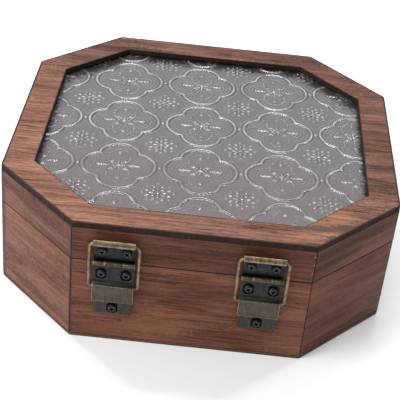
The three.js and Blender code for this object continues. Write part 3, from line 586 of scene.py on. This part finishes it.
def pressed_relief(x, y):
    """Height of the pressed pattern over the flat of the pane, in millimetres, at arrays of places."""
    cos, sin = math.cos(FOIL_TURN), math.sin(FOIL_TURN)
    along = (x - FOIL_CENTRE[0]) * cos + (y - FOIL_CENTRE[1]) * sin
    across = (y - FOIL_CENTRE[1]) * cos - (x - FOIL_CENTRE[0]) * sin
    u = (along / FOIL_PITCH[0] + 0.5) % 1.0 * FOIL_PITCH[0] - FOIL_PITCH[0] / 2
    v = (across / FOIL_PITCH[1] + 0.5) % 1.0 * FOIL_PITCH[1] - FOIL_PITCH[1] / 2

    def ridge(distance, width):
        return np.exp(-(distance / width) ** 2)

    def rings(around, angle, petals):
        return sum(high * ridge(around - radius, width)
                   * np.clip(np.cos(number * angle + turn), 0, 1) ** sharpness
                   for high, number, radius, width, sharpness, turn in petals)

    # Four round lobes run into each other over soft shoulders.
    lobes = [np.hypot(u - FOIL_SIDE[0] * way, v) - FOIL_SIDE[1] for way in (1, -1)]
    lobes += [np.hypot(u, v - FOIL_END[0] * way) - FOIL_END[1] for way in (1, -1)]
    outline = -FOIL_SHOULDER * np.log(sum(np.exp(-lobe / FOIL_SHOULDER) for lobe in lobes))
    height = 0.80 * ridge(outline, 0.74) + 0.14 * ridge(outline - 2.2, 0.5)
    inside = np.clip(-outline / 1.5 - 0.6, 0.0, 1.0)
    # Arched petals with fine veins fan up and down, and a narrow bar lies to each side.
    tall = (np.hypot(u / PETAL[1], (np.abs(v) - PETAL[0]) / PETAL[2]) - 1.0) * PETAL[1]
    fan = np.arctan2(u, np.abs(v) - 1.0)
    height += inside * (0.16 * ridge(tall, 0.5) + 0.11 * (tall < 0) * np.cos(fan * VEINS))
    arcs = np.hypot(np.abs(u) - ARCS[0], v) * 2 * np.pi / ARCS[1]
    height += inside * 0.11 * (tall > 0) * np.cos(arcs)
    height += 0.60 * np.exp(-((np.abs(u) - BAR[0]) / BAR[1]) ** 4 - (v / BAR[2]) ** 2)
    height += 0.50 * np.exp(-(u / BEAN[1]) ** 2 - ((np.abs(v) - BEAN[0]) / BEAN[2]) ** 2)
    # The flower in the middle: a boss, a ring of beads and four leaves.
    radius, angle = np.hypot(u, v), np.arctan2(v, u)
    height += 0.70 * ridge(radius, 0.9) + rings(radius, angle, FLOWER_RINGS)
    # The bead where two quatrefoils meet side by side.
    side_u = np.abs(u) - FOIL_PITCH[0] / 2
    height += 0.6 * ridge(np.hypot(side_u, v), 1.0)
    # Rosettes between the quatrefoils: a boss and three rings of eight petals.
    side_v = np.abs(v) - FOIL_PITCH[1] / 2
    radius, angle = np.hypot(side_u, side_v), np.arctan2(side_v, side_u)
    height += 0.6 * ridge(radius, 1.0) + rings(radius, angle, ROSETTE_RINGS)
    return np.clip(height, 0.0, 1.0)


def grid_line(half, seen):
    """Places from one end of the pane to the other, close together inside its rim."""
    hidden = max(2, int((half - seen) / GLASS_STEP_RIM) + 1)
    fine = np.linspace(-seen, seen, int(2 * seen / GLASS_STEP) + 1)
    first, last = np.linspace(-half, -seen, hidden)[:-1], np.linspace(seen, half, hidden)[1:]
    return np.concatenate([first, fine, last])


def relief_pane(name, node):
    """The pane as a closed grid: a pressed top, a flat back, and a rim of eight sides."""
    low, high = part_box(node)
    half_x, half_y = (high.x - low.x) / 2 / MM, (high.y - low.y) / 2 / MM
    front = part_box("base_wall_front")
    leg = half_x + PANE_INSET - (front[1].x - front[0].x) / 2 / MM - HALF_GLUE
    cut = half_x + half_y - (leg - PANE_INSET * (2 - math.sqrt(2)))
    grid_x, grid_y = np.meshgrid(*(grid_line(half, half - COARSE_RIM) for half in (half_x, half_y)))
    # Rows that reach past the slanted corners are drawn in to them, so the outline is exact.
    reach = np.minimum(half_x, cut - np.abs(grid_y))
    grid_x = grid_x * reach / half_x
    top = high.z / MM - GLASS_RELIEF + pressed_relief(grid_x, grid_y) * GLASS_RELIEF
    rows, columns = grid_x.shape
    upper = np.stack([grid_x, grid_y, top], -1).reshape(-1, 3)
    lower = np.stack([grid_x, grid_y, np.full_like(top, low.z / MM)], -1).reshape(-1, 3)
    index = np.arange(rows * columns).reshape(rows, columns)
    a, b, c, d = index[:-1, :-1], index[:-1, 1:], index[1:, 1:], index[1:, :-1]
    faces = np.stack([a, b, c, d], -1).reshape(-1, 4).tolist()
    edge = [*index[0, :-1], *index[:-1, -1], *index[-1, :0:-1], *index[:0:-1, 0]]
    ring = len(edge)
    vertices = np.vstack([upper, lower[edge]]) * MM
    base = rows * columns
    for i in range(ring):
        j = (i + 1) % ring
        faces.append([edge[i], base + i, base + j, edge[j]])
    faces.append([base + i for i in reversed(range(ring))])
    mesh = bpy.data.meshes.new(name)
    mesh.from_pydata(vertices.tolist(), [], faces)
    mesh.validate()
    # Crests of the pattern stand over the places round them, and feet lie under them.
    around = sum(pressed_relief(grid_x + dx * CREST_REACH, grid_y + dy * CREST_REACH)
                 for dx, dy in ((1, 0), (-1, 0), (0, 1), (0, -1))) / 4
    crests = np.zeros(len(vertices))
    crests[:base] = (pressed_relief(grid_x, grid_y) - around).ravel()
    # The rim, which carries painted shade, is 1 at the window's edge and under the frame, and 0 farther in.
    wide, deep, diagonal = window
    slanted = (np.abs(grid_x) + np.abs(grid_y)) / math.sqrt(2) - diagonal
    sides, front_side, back, back_slanted = RIM_WIDTH
    nearness = np.maximum.reduce([
        (np.abs(grid_x) - wide) / sides, (-grid_y - deep) / front_side, (grid_y - deep) / back,
        slanted / np.where(grid_y > 0, back_slanted, front_side)])
    rim = np.ones(len(vertices))
    rim[:base] = np.clip(1.0 + nearness, 0.0, 1.0).ravel()
    for attribute, values in (("crests", crests), ("rim", rim)):
        mesh.attributes.new(attribute, "FLOAT", "POINT").data.foreach_set("value", values.astype(np.float32))
    return add_object(name, mesh)


def pressed_glass(name):
    """Clear pressed glass with a grey body. Crests carry a painted highlight, and the feet beside them
    painted shade.

    Its rim is painted dark, for the shaded walls of the lid seen through it, its front is painted browner,
    for the box's floor seen through it, and the painted highlights fade towards the front.
    """
    material, tree, shader = shaded_material(name, GLASS_SHADE)
    crests = add_node(tree, "Attribute", attribute_name="crests").outputs["Fac"]
    place = turned_place(tree, 0.0)
    broken = remap(tree, noise(tree, place, (0.14, 0.14, 0.14), 2.0, 0.6), 0.36, 0.60, 0.35, 1.0)
    rim = add_node(tree, "Attribute", attribute_name="rim").outputs["Fac"]
    ragged = sums(tree, "ADD", rim, wander(tree, place, (0.45, 0.45, 0.45), 0.3, 3.0, 0.7))
    depth = add_node(tree, "SeparateXYZ", ((0, place),)).outputs[1]
    # The front of the pane is painted browner, for the box's floor seen through it.
    colour = blend_colours(tree, remap(tree, depth, 5.0, -60.0), GLASS_SHADE, GLASS_PAINTED_FLOOR)
    # The rim is painted dark, for the shaded walls of the lid seen through the pane.
    colour = blend_colours(tree, remap(tree, ragged, 0.2, 0.75, 0.0, 0.9), colour, GLASS_PAINTED_RIM)
    # A painted highlight along the crests, broken up, and fading towards the front and into the rim.
    painted_highlight = sums(tree, "MULTIPLY", remap(tree, crests, 0.006, 0.075), broken)
    painted_highlight = sums(tree, "MULTIPLY", painted_highlight, remap(tree, depth, 5.0, -65.0, 1.0, 0.28))
    painted_highlight = sums(tree, "MULTIPLY", painted_highlight, remap(tree, ragged, 0.2, 0.8, 1.0, 0.3))
    colour = blend_colours(tree, painted_highlight, colour, GLASS_PAINTED_HIGHLIGHT)
    # Painted shade at the feet beside the crests.
    colour = blend_colours(tree, remap(tree, crests, -0.008, -0.075), colour, GLASS_PAINTED_FOOT_SHADE)
    grit = noise(tree, place, (1.3, 1.3, 1.3), 2.0, 0.6)
    shade = remap(tree, grit, 0.3, 0.7, 0.72, 1.0, smooth=False)
    greys = add_node(tree, "CombineColor", ((0, shade), (1, shade), (2, shade))).outputs[0]
    colour = blend_colours(tree, 1.0, colour, greys, "MULTIPLY")
    pebbles = noise(tree, place, (0.75, 0.75, 0.75), 2.0, 0.55)
    ripple = noise(tree, place, (0.12, 0.12, 0.12), 1.0)
    feed(tree, shader, (
        ("Base Color", colour), ("Roughness", remap(tree, ripple, 0.3, 0.7, 0.17, 0.28)),
        ("Normal", bumped(tree, pebbles, 0.28, 0.3)), ("IOR", 1.52), ("Transmission Weight", 0.60),
    ))
    return material


glass_pane = relief_pane("glass_pane_pressed", "glass_pane")
glass_pane.data.materials.append(pressed_glass("pressed glass"))
glass_faces = glass_pane.data.polygons
glass_faces.foreach_set("use_smooth", [len(face.vertices) == 4 for face in glass_faces])
finish_piece(glass_pane, "lid", "pressed_glass", "glass_pane")


# The retainer: an octagonal ring of plain board, glued inside the lid to hold the pane up against the frame.
# It shows only from inside the lid.
retainer = cad_copy("glass_retainer", "glass_retainer_walnut")
soften(retainer, BOARD_BEVEL)
face_materials(retainer, [underside_walnut, burnt], lambda normal: 0 if abs(normal.z) > FLAT else 1)
finish_piece(retainer, "lid", "walnut_plain", "glass_retainer")


# The latches and hinges: pressed steel sheet, plated and darkened to an antique finish. The flat plates are
# gunmetal, the knuckles and hooks bronze with painted highlights, and the levers olive where thumbs rub
# them, partly their own tone and partly a painted sheen. Worn edges are bright, and crevices are painted
# dark as shade.
GUNMETAL = ((0.014, 0.015, 0.017), (0.032, 0.032, 0.034))       # darkest and lightest of the blotches
BRONZE = ((0.040, 0.030, 0.017), (0.125, 0.097, 0.056))
# olive, partly the lever's own tone and partly a painted sheen where its hump faces up
OLIVE_AND_SHEEN = ((0.050, 0.042, 0.032), (0.085, 0.071, 0.055))
TAB_GREEN = ((0.034, 0.031, 0.026), (0.058, 0.052, 0.045))
SHADED = ((0.008, 0.007, 0.006), (0.018, 0.016, 0.013))
WIRE_BRONZE = ((0.095, 0.074, 0.047), (0.250, 0.193, 0.120))
# painted highlights on the tops of the knuckles and the lip and foot of each hook
PAINTED_GLINT = ((0.140, 0.104, 0.060), (0.330, 0.256, 0.146))
RUBBED = (0.62, 0.49, 0.27)
# painted shade in crevices
PAINTED_CREVICE_SHADE = (0.010, 0.009, 0.008)
SHEET_BEVEL = 0.14 * MM
ZONE_BLUR = 0.25
ABOVE_ALL = 80.0
UNTOUCHED = 0.12              # share of the wear where hands don't reach


def wear_and_shade_group():
    """Masks for worn edges that stand proud and for crevices that take painted shade, within a width in
    metres.
    """
    group, given, result = new_group("edge wear", (
        ("Width", "Float", 0.0004), ("Edges", "Float"), ("Crevices", "Float"),
    ))
    rounded = add_node(group, "Bevel", (("Radius", given.outputs["Width"]),), samples=6)
    flat = add_node(group, "NewGeometry").outputs["Normal"]
    agree = add_node(group, "VectorMath", ((0, rounded.outputs[0]), (1, flat)), operation="DOT_PRODUCT")
    turned = remap(group, agree.outputs["Value"], 0.998, 0.93)
    open_air = add_node(group, "AmbientOcclusion", (("Distance", 0.0022),), samples=8).outputs["AO"]
    proud = remap(group, open_air, 0.45, 0.8)
    group.links.new(sums(group, "MULTIPLY", turned, proud), result.inputs["Edges"])
    group.links.new(remap(group, open_air, 0.62, 0.2), result.inputs["Crevices"])
    return group


def blotch_group():
    """Blotches of plating, and the fine upright marks of drawing and rubbing by their share."""
    group, given, result = new_group("plating blotches", (
        ("Place", "Vector", None), ("Drawn", "Float", 0.0), ("Blotches", "Float"),
    ))
    place, share = given.outputs["Place"], given.outputs["Drawn"]
    rest = sums(group, "SUBTRACT", 1.0, share)
    kept = sums(group, "MULTIPLY", noise(group, place, (0.5, 0.5, 0.35), 4.0, 0.6), rest)
    drawn = sums(group, "MULTIPLY", noise(group, place, (2.2, 2.2, 0.10), 3.0, 0.6), share)
    group.links.new(sums(group, "ADD", kept, drawn), result.inputs["Blotches"])
    return group


def height_band_group():
    """1 between two heights and 0 above and below them, in millimetres."""
    group, given, result = new_group("height band", (
        ("Place", "Vector", None), ("Low", "Float", 0.0), ("High", "Float", ABOVE_ALL), ("Mask", "Float"),
    ))
    height = add_node(group, "SeparateXYZ", ((0, given.outputs["Place"]),)).outputs[2]
    above, below = (
        remap(group, height, sums(group, "SUBTRACT", given.outputs[level], ZONE_BLUR),
              sums(group, "ADD", given.outputs[level], ZONE_BLUR), *values)
        for level, values in (("Low", (0.0, 1.0)), ("High", (1.0, 0.0))))
    group.links.new(sums(group, "MULTIPLY", above, below), result.inputs["Mask"])
    return group


wear_and_shade = wear_and_shade_group()
plating_blotches = blotch_group()
height_band = height_band_group()


def antique_metal(name, ground, zones=(), wear=0.8, drawn=0.0, touched=()):
    """Plated and darkened metal. Each zone colours the heights between two, in millimetres; some are
    finishes, others painted highlights and painted shade.

    drawn is the share of upright marks in its blotches. Edges are rubbed bright, most of all between each
    pair of touched heights.
    """
    material, tree, shader = shaded_material(name, ground[1])
    place = turned_place(tree, 0.0)
    blotches = use_group(tree, plating_blotches, (("Place", place), ("Drawn", drawn))).outputs["Blotches"]
    tone = remap(tree, blotches, 0.34, 0.66)
    colour = blend_colours(tree, tone, *ground)

    def between(low, high):
        band = use_group(tree, height_band, (("Place", place), ("Low", low), ("High", high)))
        return band.outputs["Mask"]

    for low, high, finish in zones:
        colour = blend_colours(tree, between(low, high), colour, blend_colours(tree, tone, *finish))
    worn_and_shaded = use_group(tree, wear_and_shade, (("Width", 0.55 * MM),))
    patchy = remap(tree, noise(tree, place, (0.9, 0.9, 0.9), 2.0), 0.3, 0.6, 0.35, 1.0)
    edges = sums(tree, "MULTIPLY", sums(tree, "MULTIPLY", worn_and_shaded.outputs["Edges"], patchy), wear)
    if touched:
        share = UNTOUCHED
        for low, high in touched:
            share = sums(tree, "MAXIMUM", share, between(low, high))
        edges = sums(tree, "MULTIPLY", edges, share)
    colour = blend_colours(tree, edges, colour, RUBBED)
    # Crevices are painted dark as shade.
    colour = blend_colours(tree, worn_and_shaded.outputs["Crevices"], colour, PAINTED_CREVICE_SHADE)
    feed(tree, shader, (
        ("Base Color", colour), ("Roughness", remap(tree, blotches, 0.3, 0.7, 0.5, 0.36)),
        ("Metallic", 0.8), ("Normal", bumped(tree, noise(tree, place, (3.0, 3.0, 3.0)), 0.25, 0.03)),
    ))
    return material


# Heights on the latches, from their own parts. Both latches are at the same height.
HUMP = (13.1, 21.7)           # how far the lever's hump starts and ends under its axis
HUMP_SHADE = 10.2             # and where the shade over the hump starts
HOOK_RISE = 3.2
lever_axis = sum(corner.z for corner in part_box("latch_left_pin")) / 2 / MM
hump_top, hump_foot = (lever_axis - down for down in HUMP)
hook_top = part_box("latch_left_strike")[1].z / MM
hook_low = hook_top - HOOK_RISE
# The knuckles' tops and the hooks' lips and feet carry painted highlights.
knuckle_zones = [(lever_axis - 0.5, ABOVE_ALL, BRONZE), (lever_axis + 1.5, ABOVE_ALL, PAINTED_GLINT)]
lever_zones = [*knuckle_zones, (hump_top, lever_axis - HUMP_SHADE, SHADED), (hump_foot, hump_top, OLIVE_AND_SHEEN),
               (0, hump_foot, TAB_GREEN)]
hook_zones = [(hook_low, ABOVE_ALL, BRONZE), (hook_low - 0.2, hook_low + 0.7, PAINTED_GLINT),
              (hook_top - 0.7, ABOVE_ALL, PAINTED_GLINT)]
plate_metals = {
    "strike": antique_metal("gunmetal strike", GUNMETAL, hook_zones, touched=[(hook_low, ABOVE_ALL)]),
    "base_plate": antique_metal("gunmetal plate", GUNMETAL, knuckle_zones, touched=[(lever_axis, ABOVE_ALL)]),
    "lever": antique_metal("rubbed lever", GUNMETAL, lever_zones, wear=0.7, drawn=0.5,
                           touched=[(lever_axis - 0.5, ABOVE_ALL), (hump_foot - 0.6, hump_top + 0.6)]),
}
bronze = antique_metal("antique bronze", BRONZE, wear=0.6)
wire_bronze = antique_metal("bronze wire", WIRE_BRONZE, wear=0.3)


def finish_sheet(node, body, metal):
    """A pressed sheet part with its edges broken and its faces shaded smooth."""
    plate = cad_copy(node, f"{node}_bronze")
    soften(plate, SHEET_BEVEL, angle=40.0)
    plate.data.materials.append(metal)
    smooth_by_angle(plate, 45.0)
    finish_piece(plate, body, "antique_bronze", node)


for hand in ("left", "right"):
    for part, body in (("strike", "lid"), ("base_plate", "base"), ("lever", f"latch_{hand}_lever")):
        finish_sheet(f"latch_{hand}_{part}", body, plate_metals[part])
    for part, body in (("lower_leaf", "base"), ("upper_leaf", "lid")):
        finish_sheet(f"hinge_{hand}_{part}", body, bronze)


# The bails: one bronze wire each, bent round the sides of the hook, with its ends turned in through the ears
# of the lever that pulls it down.
WIRE_RADIUS = 0.8 * MM
EAR_DEPTH = 1.3 * MM          # how far the wire's ends reach into the lever
BAIL_TOP_BEND = 2.6 * MM
BAIL_END_BEND = 1.7 * MM
BEND_STEPS = 8


def bent_wire(name, points, radius):
    """A closed round wire that follows points."""
    curve = bpy.data.curves.new(name, "CURVE")
    curve.dimensions = "3D"
    curve.bevel_depth = radius
    curve.bevel_resolution = 4
    curve.use_fill_caps = True
    spline = curve.splines.new("POLY")
    spline.points.add(len(points) - 1)
    for point, place in zip(spline.points, points):
        point.co = (*place, 1.0)
    holder = add_object(name, curve)
    graph = bpy.context.evaluated_depsgraph_get()
    mesh = bpy.data.meshes.new_from_object(holder.evaluated_get(graph))
    bpy.data.objects.remove(holder)
    work = bmesh.new()
    work.from_mesh(mesh)
    bmesh.ops.remove_doubles(work, verts=work.verts, dist=SAME_PLACE)
    piece = add_object(name, mesh_of(work, name))
    bpy.data.meshes.remove(mesh)
    smooth_by_angle(piece, 50.0)
    return piece


def quarter_bend(centre, radius, start):
    """Points in X and Z on a quarter circle."""
    angles = [start + math.pi / 2 * i / BEND_STEPS for i in range(BEND_STEPS + 1)]
    return [(centre[0] + radius * math.cos(angle), centre[1] + radius * math.sin(angle))
            for angle in angles]


for hand in ("left", "right"):
    node = f"latch_{hand}_bail"
    low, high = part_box(node)
    middle = (low.x + high.x) / 2
    leg = high.x - WIRE_RADIUS - middle
    lever_low, lever_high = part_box(f"latch_{hand}_lever")
    end = (lever_high.x - lever_low.x) / 2 - EAR_DEPTH
    foot, top = low.z + WIRE_RADIUS, high.z - WIRE_RADIUS
    foot_y, top_y = high.y - WIRE_RADIUS, low.y + WIRE_RADIUS
    half = [(end, foot)]
    half += quarter_bend((leg - BAIL_END_BEND, foot + BAIL_END_BEND), BAIL_END_BEND, -math.pi / 2)
    half += quarter_bend((leg - BAIL_TOP_BEND, top - BAIL_TOP_BEND), BAIL_TOP_BEND, 0.0)
    path = half + [(-x, z) for x, z in reversed(half)]
    points = [(middle + x, foot_y + (top_y - foot_y) * (z - foot) / (top - foot), z) for x, z in path]
    bail = bent_wire(f"{node}_bronze", points, WIRE_RADIUS)
    bail.data.materials.append(wire_bronze)
    finish_piece(bail, f"latch_{hand}_bail", "antique_bronze", node)


# The screws: pan heads with a cross recess, of dark plated steel, each driven to its own turn. One tree of
# nodes sets a screw at each place on a body.
SCREW_HEAD = 2.3 * MM
SCREW_RISE = 1.7 * MM
SCREW_SHANK = 1.0 * MM
SCREW_GRIP = 3.6 * MM
SHEET = 0.8 * MM              # thickness of the plate under the head
CROWN_STEPS = 6
SCREW_TURN = (11, 37)         # degrees that the first screw is turned, and each next one more
RECESS_LONG = 3.4 * MM
RECESS_WIDE = 0.95 * MM
RECESS_DEEP = 1.2 * MM
RECESS_FOOT = 0.45            # share of its length that the cross keeps at its bottom
PAINTED_RECESS_SHADE = (0.002, 0.002, 0.002)
STEEL_DARK = (0.014, 0.014, 0.018)
STEEL_LIGHT = (0.045, 0.044, 0.051)
STEEL_RUBBED = (0.24, 0.23, 0.23)


def dark_steel(name):
    """Black-plated steel, greyer on its crown and its rim where a driver and thumbs have rubbed it. Its
    crevices and the cross of its recess are painted black as shade.
    """
    material, tree, shader = shaded_material(name, STEEL_DARK)
    place = turned_place(tree, 0.0)
    wear = noise(tree, place, (0.8, 0.8, 0.8), 3.0)
    worn_and_shaded = use_group(tree, wear_and_shade, (("Width", 0.3 * MM),))
    colour = blend_colours(tree, remap(tree, wear, 0.42, 0.66), STEEL_DARK, STEEL_LIGHT)
    colour = blend_colours(tree, sums(tree, "MULTIPLY", worn_and_shaded.outputs["Edges"], 0.7), colour, STEEL_RUBBED)
    # Crevices are painted dark as shade.
    colour = blend_colours(tree, worn_and_shaded.outputs["Crevices"], colour, PAINTED_CREVICE_SHADE)
    # The cross of the recess is painted black as shade.
    recess = add_node(tree, "Attribute", attribute_name="recess").outputs["Fac"]
    colour = blend_colours(tree, recess, colour, PAINTED_RECESS_SHADE)
    feed(tree, shader, (
        ("Base Color", colour), ("Roughness", remap(tree, wear, 0.3, 0.7, 0.42, 0.28)), ("Metallic", 0.8),
    ))
    return material


def screw_mesh(name):
    """A screw along +Y, with its head's underside at the origin."""
    tip = -SCREW_GRIP - SHEET
    outline = [(0, tip), (SCREW_SHANK, tip), (SCREW_SHANK, 0), (SCREW_HEAD, 0)]
    for i in range(CROWN_STEPS + 1):
        angle = math.pi / 2 * i / CROWN_STEPS
        outline.append((SCREW_HEAD * (0.55 + 0.45 * math.cos(angle)),
                        SCREW_RISE * (0.45 + 0.55 * math.sin(angle))))
    outline.append((0, SCREW_RISE))
    work = bmesh.new()
    ring = [work.verts.new((radius, height, 0)) for radius, height in outline]
    edges = [work.edges.new(pair) for pair in zip(ring, ring[1:])]
    bmesh.ops.spin(work, geom=ring + edges, cent=(0, 0, 0), axis=(0, 1, 0), angle=2 * math.pi, steps=24)
    bmesh.ops.remove_doubles(work, verts=work.verts, dist=SAME_PLACE)
    screw = add_object(name, mesh_of(work, name))
    # The cross is cut with a tapered bit.
    work = bmesh.new()
    for turn in (0, math.pi / 2):
        made = bmesh.ops.create_cube(work, size=1.0)["verts"]
        bmesh.ops.scale(work, verts=made, vec=(RECESS_LONG, 2 * RECESS_DEEP, RECESS_WIDE))
        for vertex in made:
            if vertex.co.y < 0:
                vertex.co.x *= RECESS_FOOT
        bmesh.ops.rotate(work, verts=made, cent=(0, 0, 0), matrix=Matrix.Rotation(turn, 3, "Y"))
    bmesh.ops.translate(work, verts=work.verts, vec=(0, SCREW_RISE, 0))
    cutter = add_object("cross bit", mesh_of(work, "cross bit"))
    recess = screw.modifiers.new("recess", "BOOLEAN")
    recess.operation = "DIFFERENCE"
    recess.solver = "EXACT"
    recess.use_self = True
    recess.object = cutter
    apply_modifiers(screw)
    bpy.data.objects.remove(cutter)
    smooth_by_angle(screw, 35.0)
    # The faces of the cross, which are painted black as shade, lie under the crown, inside the cross's reach.
    inside = []
    for face in screw.data.polygons:
        depth = SCREW_RISE - face.center.y
        off_axis = math.hypot(face.center.x, face.center.z)
        inside.append(float(0.15 * MM < depth < RECESS_DEEP * 1.1 and off_axis < RECESS_LONG * 0.51))
    screw.data.attributes.new("recess", "FLOAT", "FACE").data.foreach_set("value", inside)
    return screw


def screw_row_tree(screw, steel):
    """Geometry nodes: a screw at each point, turned as the point says, made real."""
    tree = bpy.data.node_groups.new("screws at points", "GeometryNodeTree")
    for name, kind in (("Geometry", "Geometry"), ("Screw", "Object"), ("Steel", "Material")):
        tree.interface.new_socket(name, in_out="INPUT", socket_type="NodeSocket" + kind)
    tree.interface.new_socket("Geometry", in_out="OUTPUT", socket_type="NodeSocketGeometry")
    given, result = tree.nodes.new("NodeGroupInput"), tree.nodes.new("NodeGroupOutput")
    info = tree.nodes.new("GeometryNodeObjectInfo")
    turn = tree.nodes.new("GeometryNodeInputNamedAttribute")
    turn.data_type = "FLOAT_VECTOR"
    turn.inputs["Name"].default_value = "turn"
    spread = tree.nodes.new("GeometryNodeInstanceOnPoints")
    real = tree.nodes.new("GeometryNodeRealizeInstances")
    painted = tree.nodes.new("GeometryNodeSetMaterial")
    link = tree.links.new
    link(given.outputs["Geometry"], spread.inputs["Points"])
    link(given.outputs["Screw"], info.inputs["Object"])
    link(info.outputs["Geometry"], spread.inputs["Instance"])
    link(turn.outputs["Attribute"], spread.inputs["Rotation"])
    link(spread.outputs["Instances"], real.inputs[0])
    link(real.outputs[0], painted.inputs["Geometry"])
    link(given.outputs["Steel"], painted.inputs["Material"])
    link(painted.outputs[0], result.inputs["Geometry"])
    return tree


steel = dark_steel("dark steel")
screw = screw_mesh("screw pattern")
screw_tree = screw_row_tree(screw, steel)
for body in ("base", "lid"):
    members = frame["record"]["behaviour"]["bodies"][body]
    nodes = [node for node in members if "_screw_" in node]
    places, turns = [], []
    for order, node in enumerate(nodes):
        low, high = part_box(node)
        front = low.y < 0
        head = low.y + SCREW_RISE if front else high.y - SCREW_RISE
        places.append(((low.x + high.x) / 2, head, (low.z + high.z) / 2))
        twist = math.radians(SCREW_TURN[0] + SCREW_TURN[1] * order)
        turns.append(Matrix.Rotation(math.pi if front else 0.0, 3, "X") @ Matrix.Rotation(twist, 3, "Y"))
    cloud = bpy.data.meshes.new(f"{body} screw places")
    cloud.from_pydata(places, [], [])
    attribute = cloud.attributes.new("turn", "FLOAT_VECTOR", "POINT")
    for element, turned in zip(attribute.data, turns):
        element.vector = turned.to_euler()[:]
    screws = add_object(f"{body}_screws", cloud)
    setting = screws.modifiers.new("screws", "NODES")
    setting.node_group = screw_tree
    sockets = {item.name: item.identifier for item in screw_tree.interface.items_tree
               if item.in_out == "INPUT"}
    setting[sockets["Screw"]] = screw
    setting[sockets["Steel"]] = steel
    apply_modifiers(screws)
    finish_piece(screws, body, "dark_steel", *nodes)
bpy.data.objects.remove(screw)


# The pins: thin rod of the same dark steel, pushed into the knuckles of the latches and hinges. They stay
# with the base while the levers and the lid turn about them.
for fitting in ("latch_left", "latch_right", "hinge_left", "hinge_right"):
    node = f"{fitting}_pin"
    low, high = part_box(node)
    middle = (low + high) / 2
    ends = [(x, middle.y, middle.z) for x in (low.x, high.x)]
    pin = bent_wire(f"{node}_steel", ends, (high.z - low.z) / 2)
    pin.data.materials.append(steel)
    finish_piece(pin, "base", "dark_steel", node)


# The stage: a pale floor and a soft white light from the left, with softboxes over and behind the box that
# draw the highlights on the glass, and a weak one in front.
FLOOR_SIZE = 6.0
FLOOR_SHADE = (0.86, 0.86, 0.87)
ROOM_SHADE = (0.97, 0.98, 1.0)
ROOM_LIGHT = 0.5
AIM_HEIGHT = 0.035            # the lights point at the middle of the box

floor_mesh = bpy.data.meshes.new("floor")
reach = FLOOR_SIZE / 2
floor_mesh.from_pydata([(-reach, -reach, 0), (reach, -reach, 0), (reach, reach, 0), (-reach, reach, 0)], [],
                       [(0, 1, 2, 3)])
floor = add_object("floor", floor_mesh)
floor_material, floor_tree, floor_shader = shaded_material("pale floor", FLOOR_SHADE)
feed(floor_tree, floor_shader, (("Base Color", (*FLOOR_SHADE, 1.0)), ("Roughness", 0.9)))
floor_mesh.materials.append(floor_material)

world = bpy.data.worlds.new("soft white room")
world.use_nodes = True
feed(world.node_tree, world.node_tree.nodes["Background"],
     (("Color", (*ROOM_SHADE, 1.0)), ("Strength", ROOM_LIGHT)))
bpy.context.scene.world = world


def add_softbox(name, azimuth, elevation, distance, size, power):
    """A soft light aimed at the box, from an azimuth that counts from the front to the right."""
    flat = distance * math.cos(math.radians(elevation))
    height = distance * math.sin(math.radians(elevation))
    azimuth = math.radians(azimuth)
    place = Vector((flat * math.sin(azimuth), -flat * math.cos(azimuth), height))
    data = bpy.data.lights.new(name, "AREA")
    data.shape = "RECTANGLE"
    data.size, data.size_y = size
    data.energy = power
    light = add_object(name, data)
    light.location = place
    light.rotation_euler = (Vector((0, 0, AIM_HEIGHT)) - place).to_track_quat("-Z", "Y").to_euler()


add_softbox("key left", -62, 38, 1.2, (0.6, 0.6), 11.0)
add_softbox("overhead", 178, 66, 1.1, (0.55, 0.22), 6.5)
add_softbox("strip back left", -128, 40, 1.2, (0.16, 0.7), 4.5)
add_softbox("strip back right", 128, 40, 1.2, (0.16, 0.7), 4.5)
add_softbox("front fill", -8, 50, 1.3, (0.7, 0.4), 2.5)
bpy.context.scene.view_settings.view_transform = "Standard"
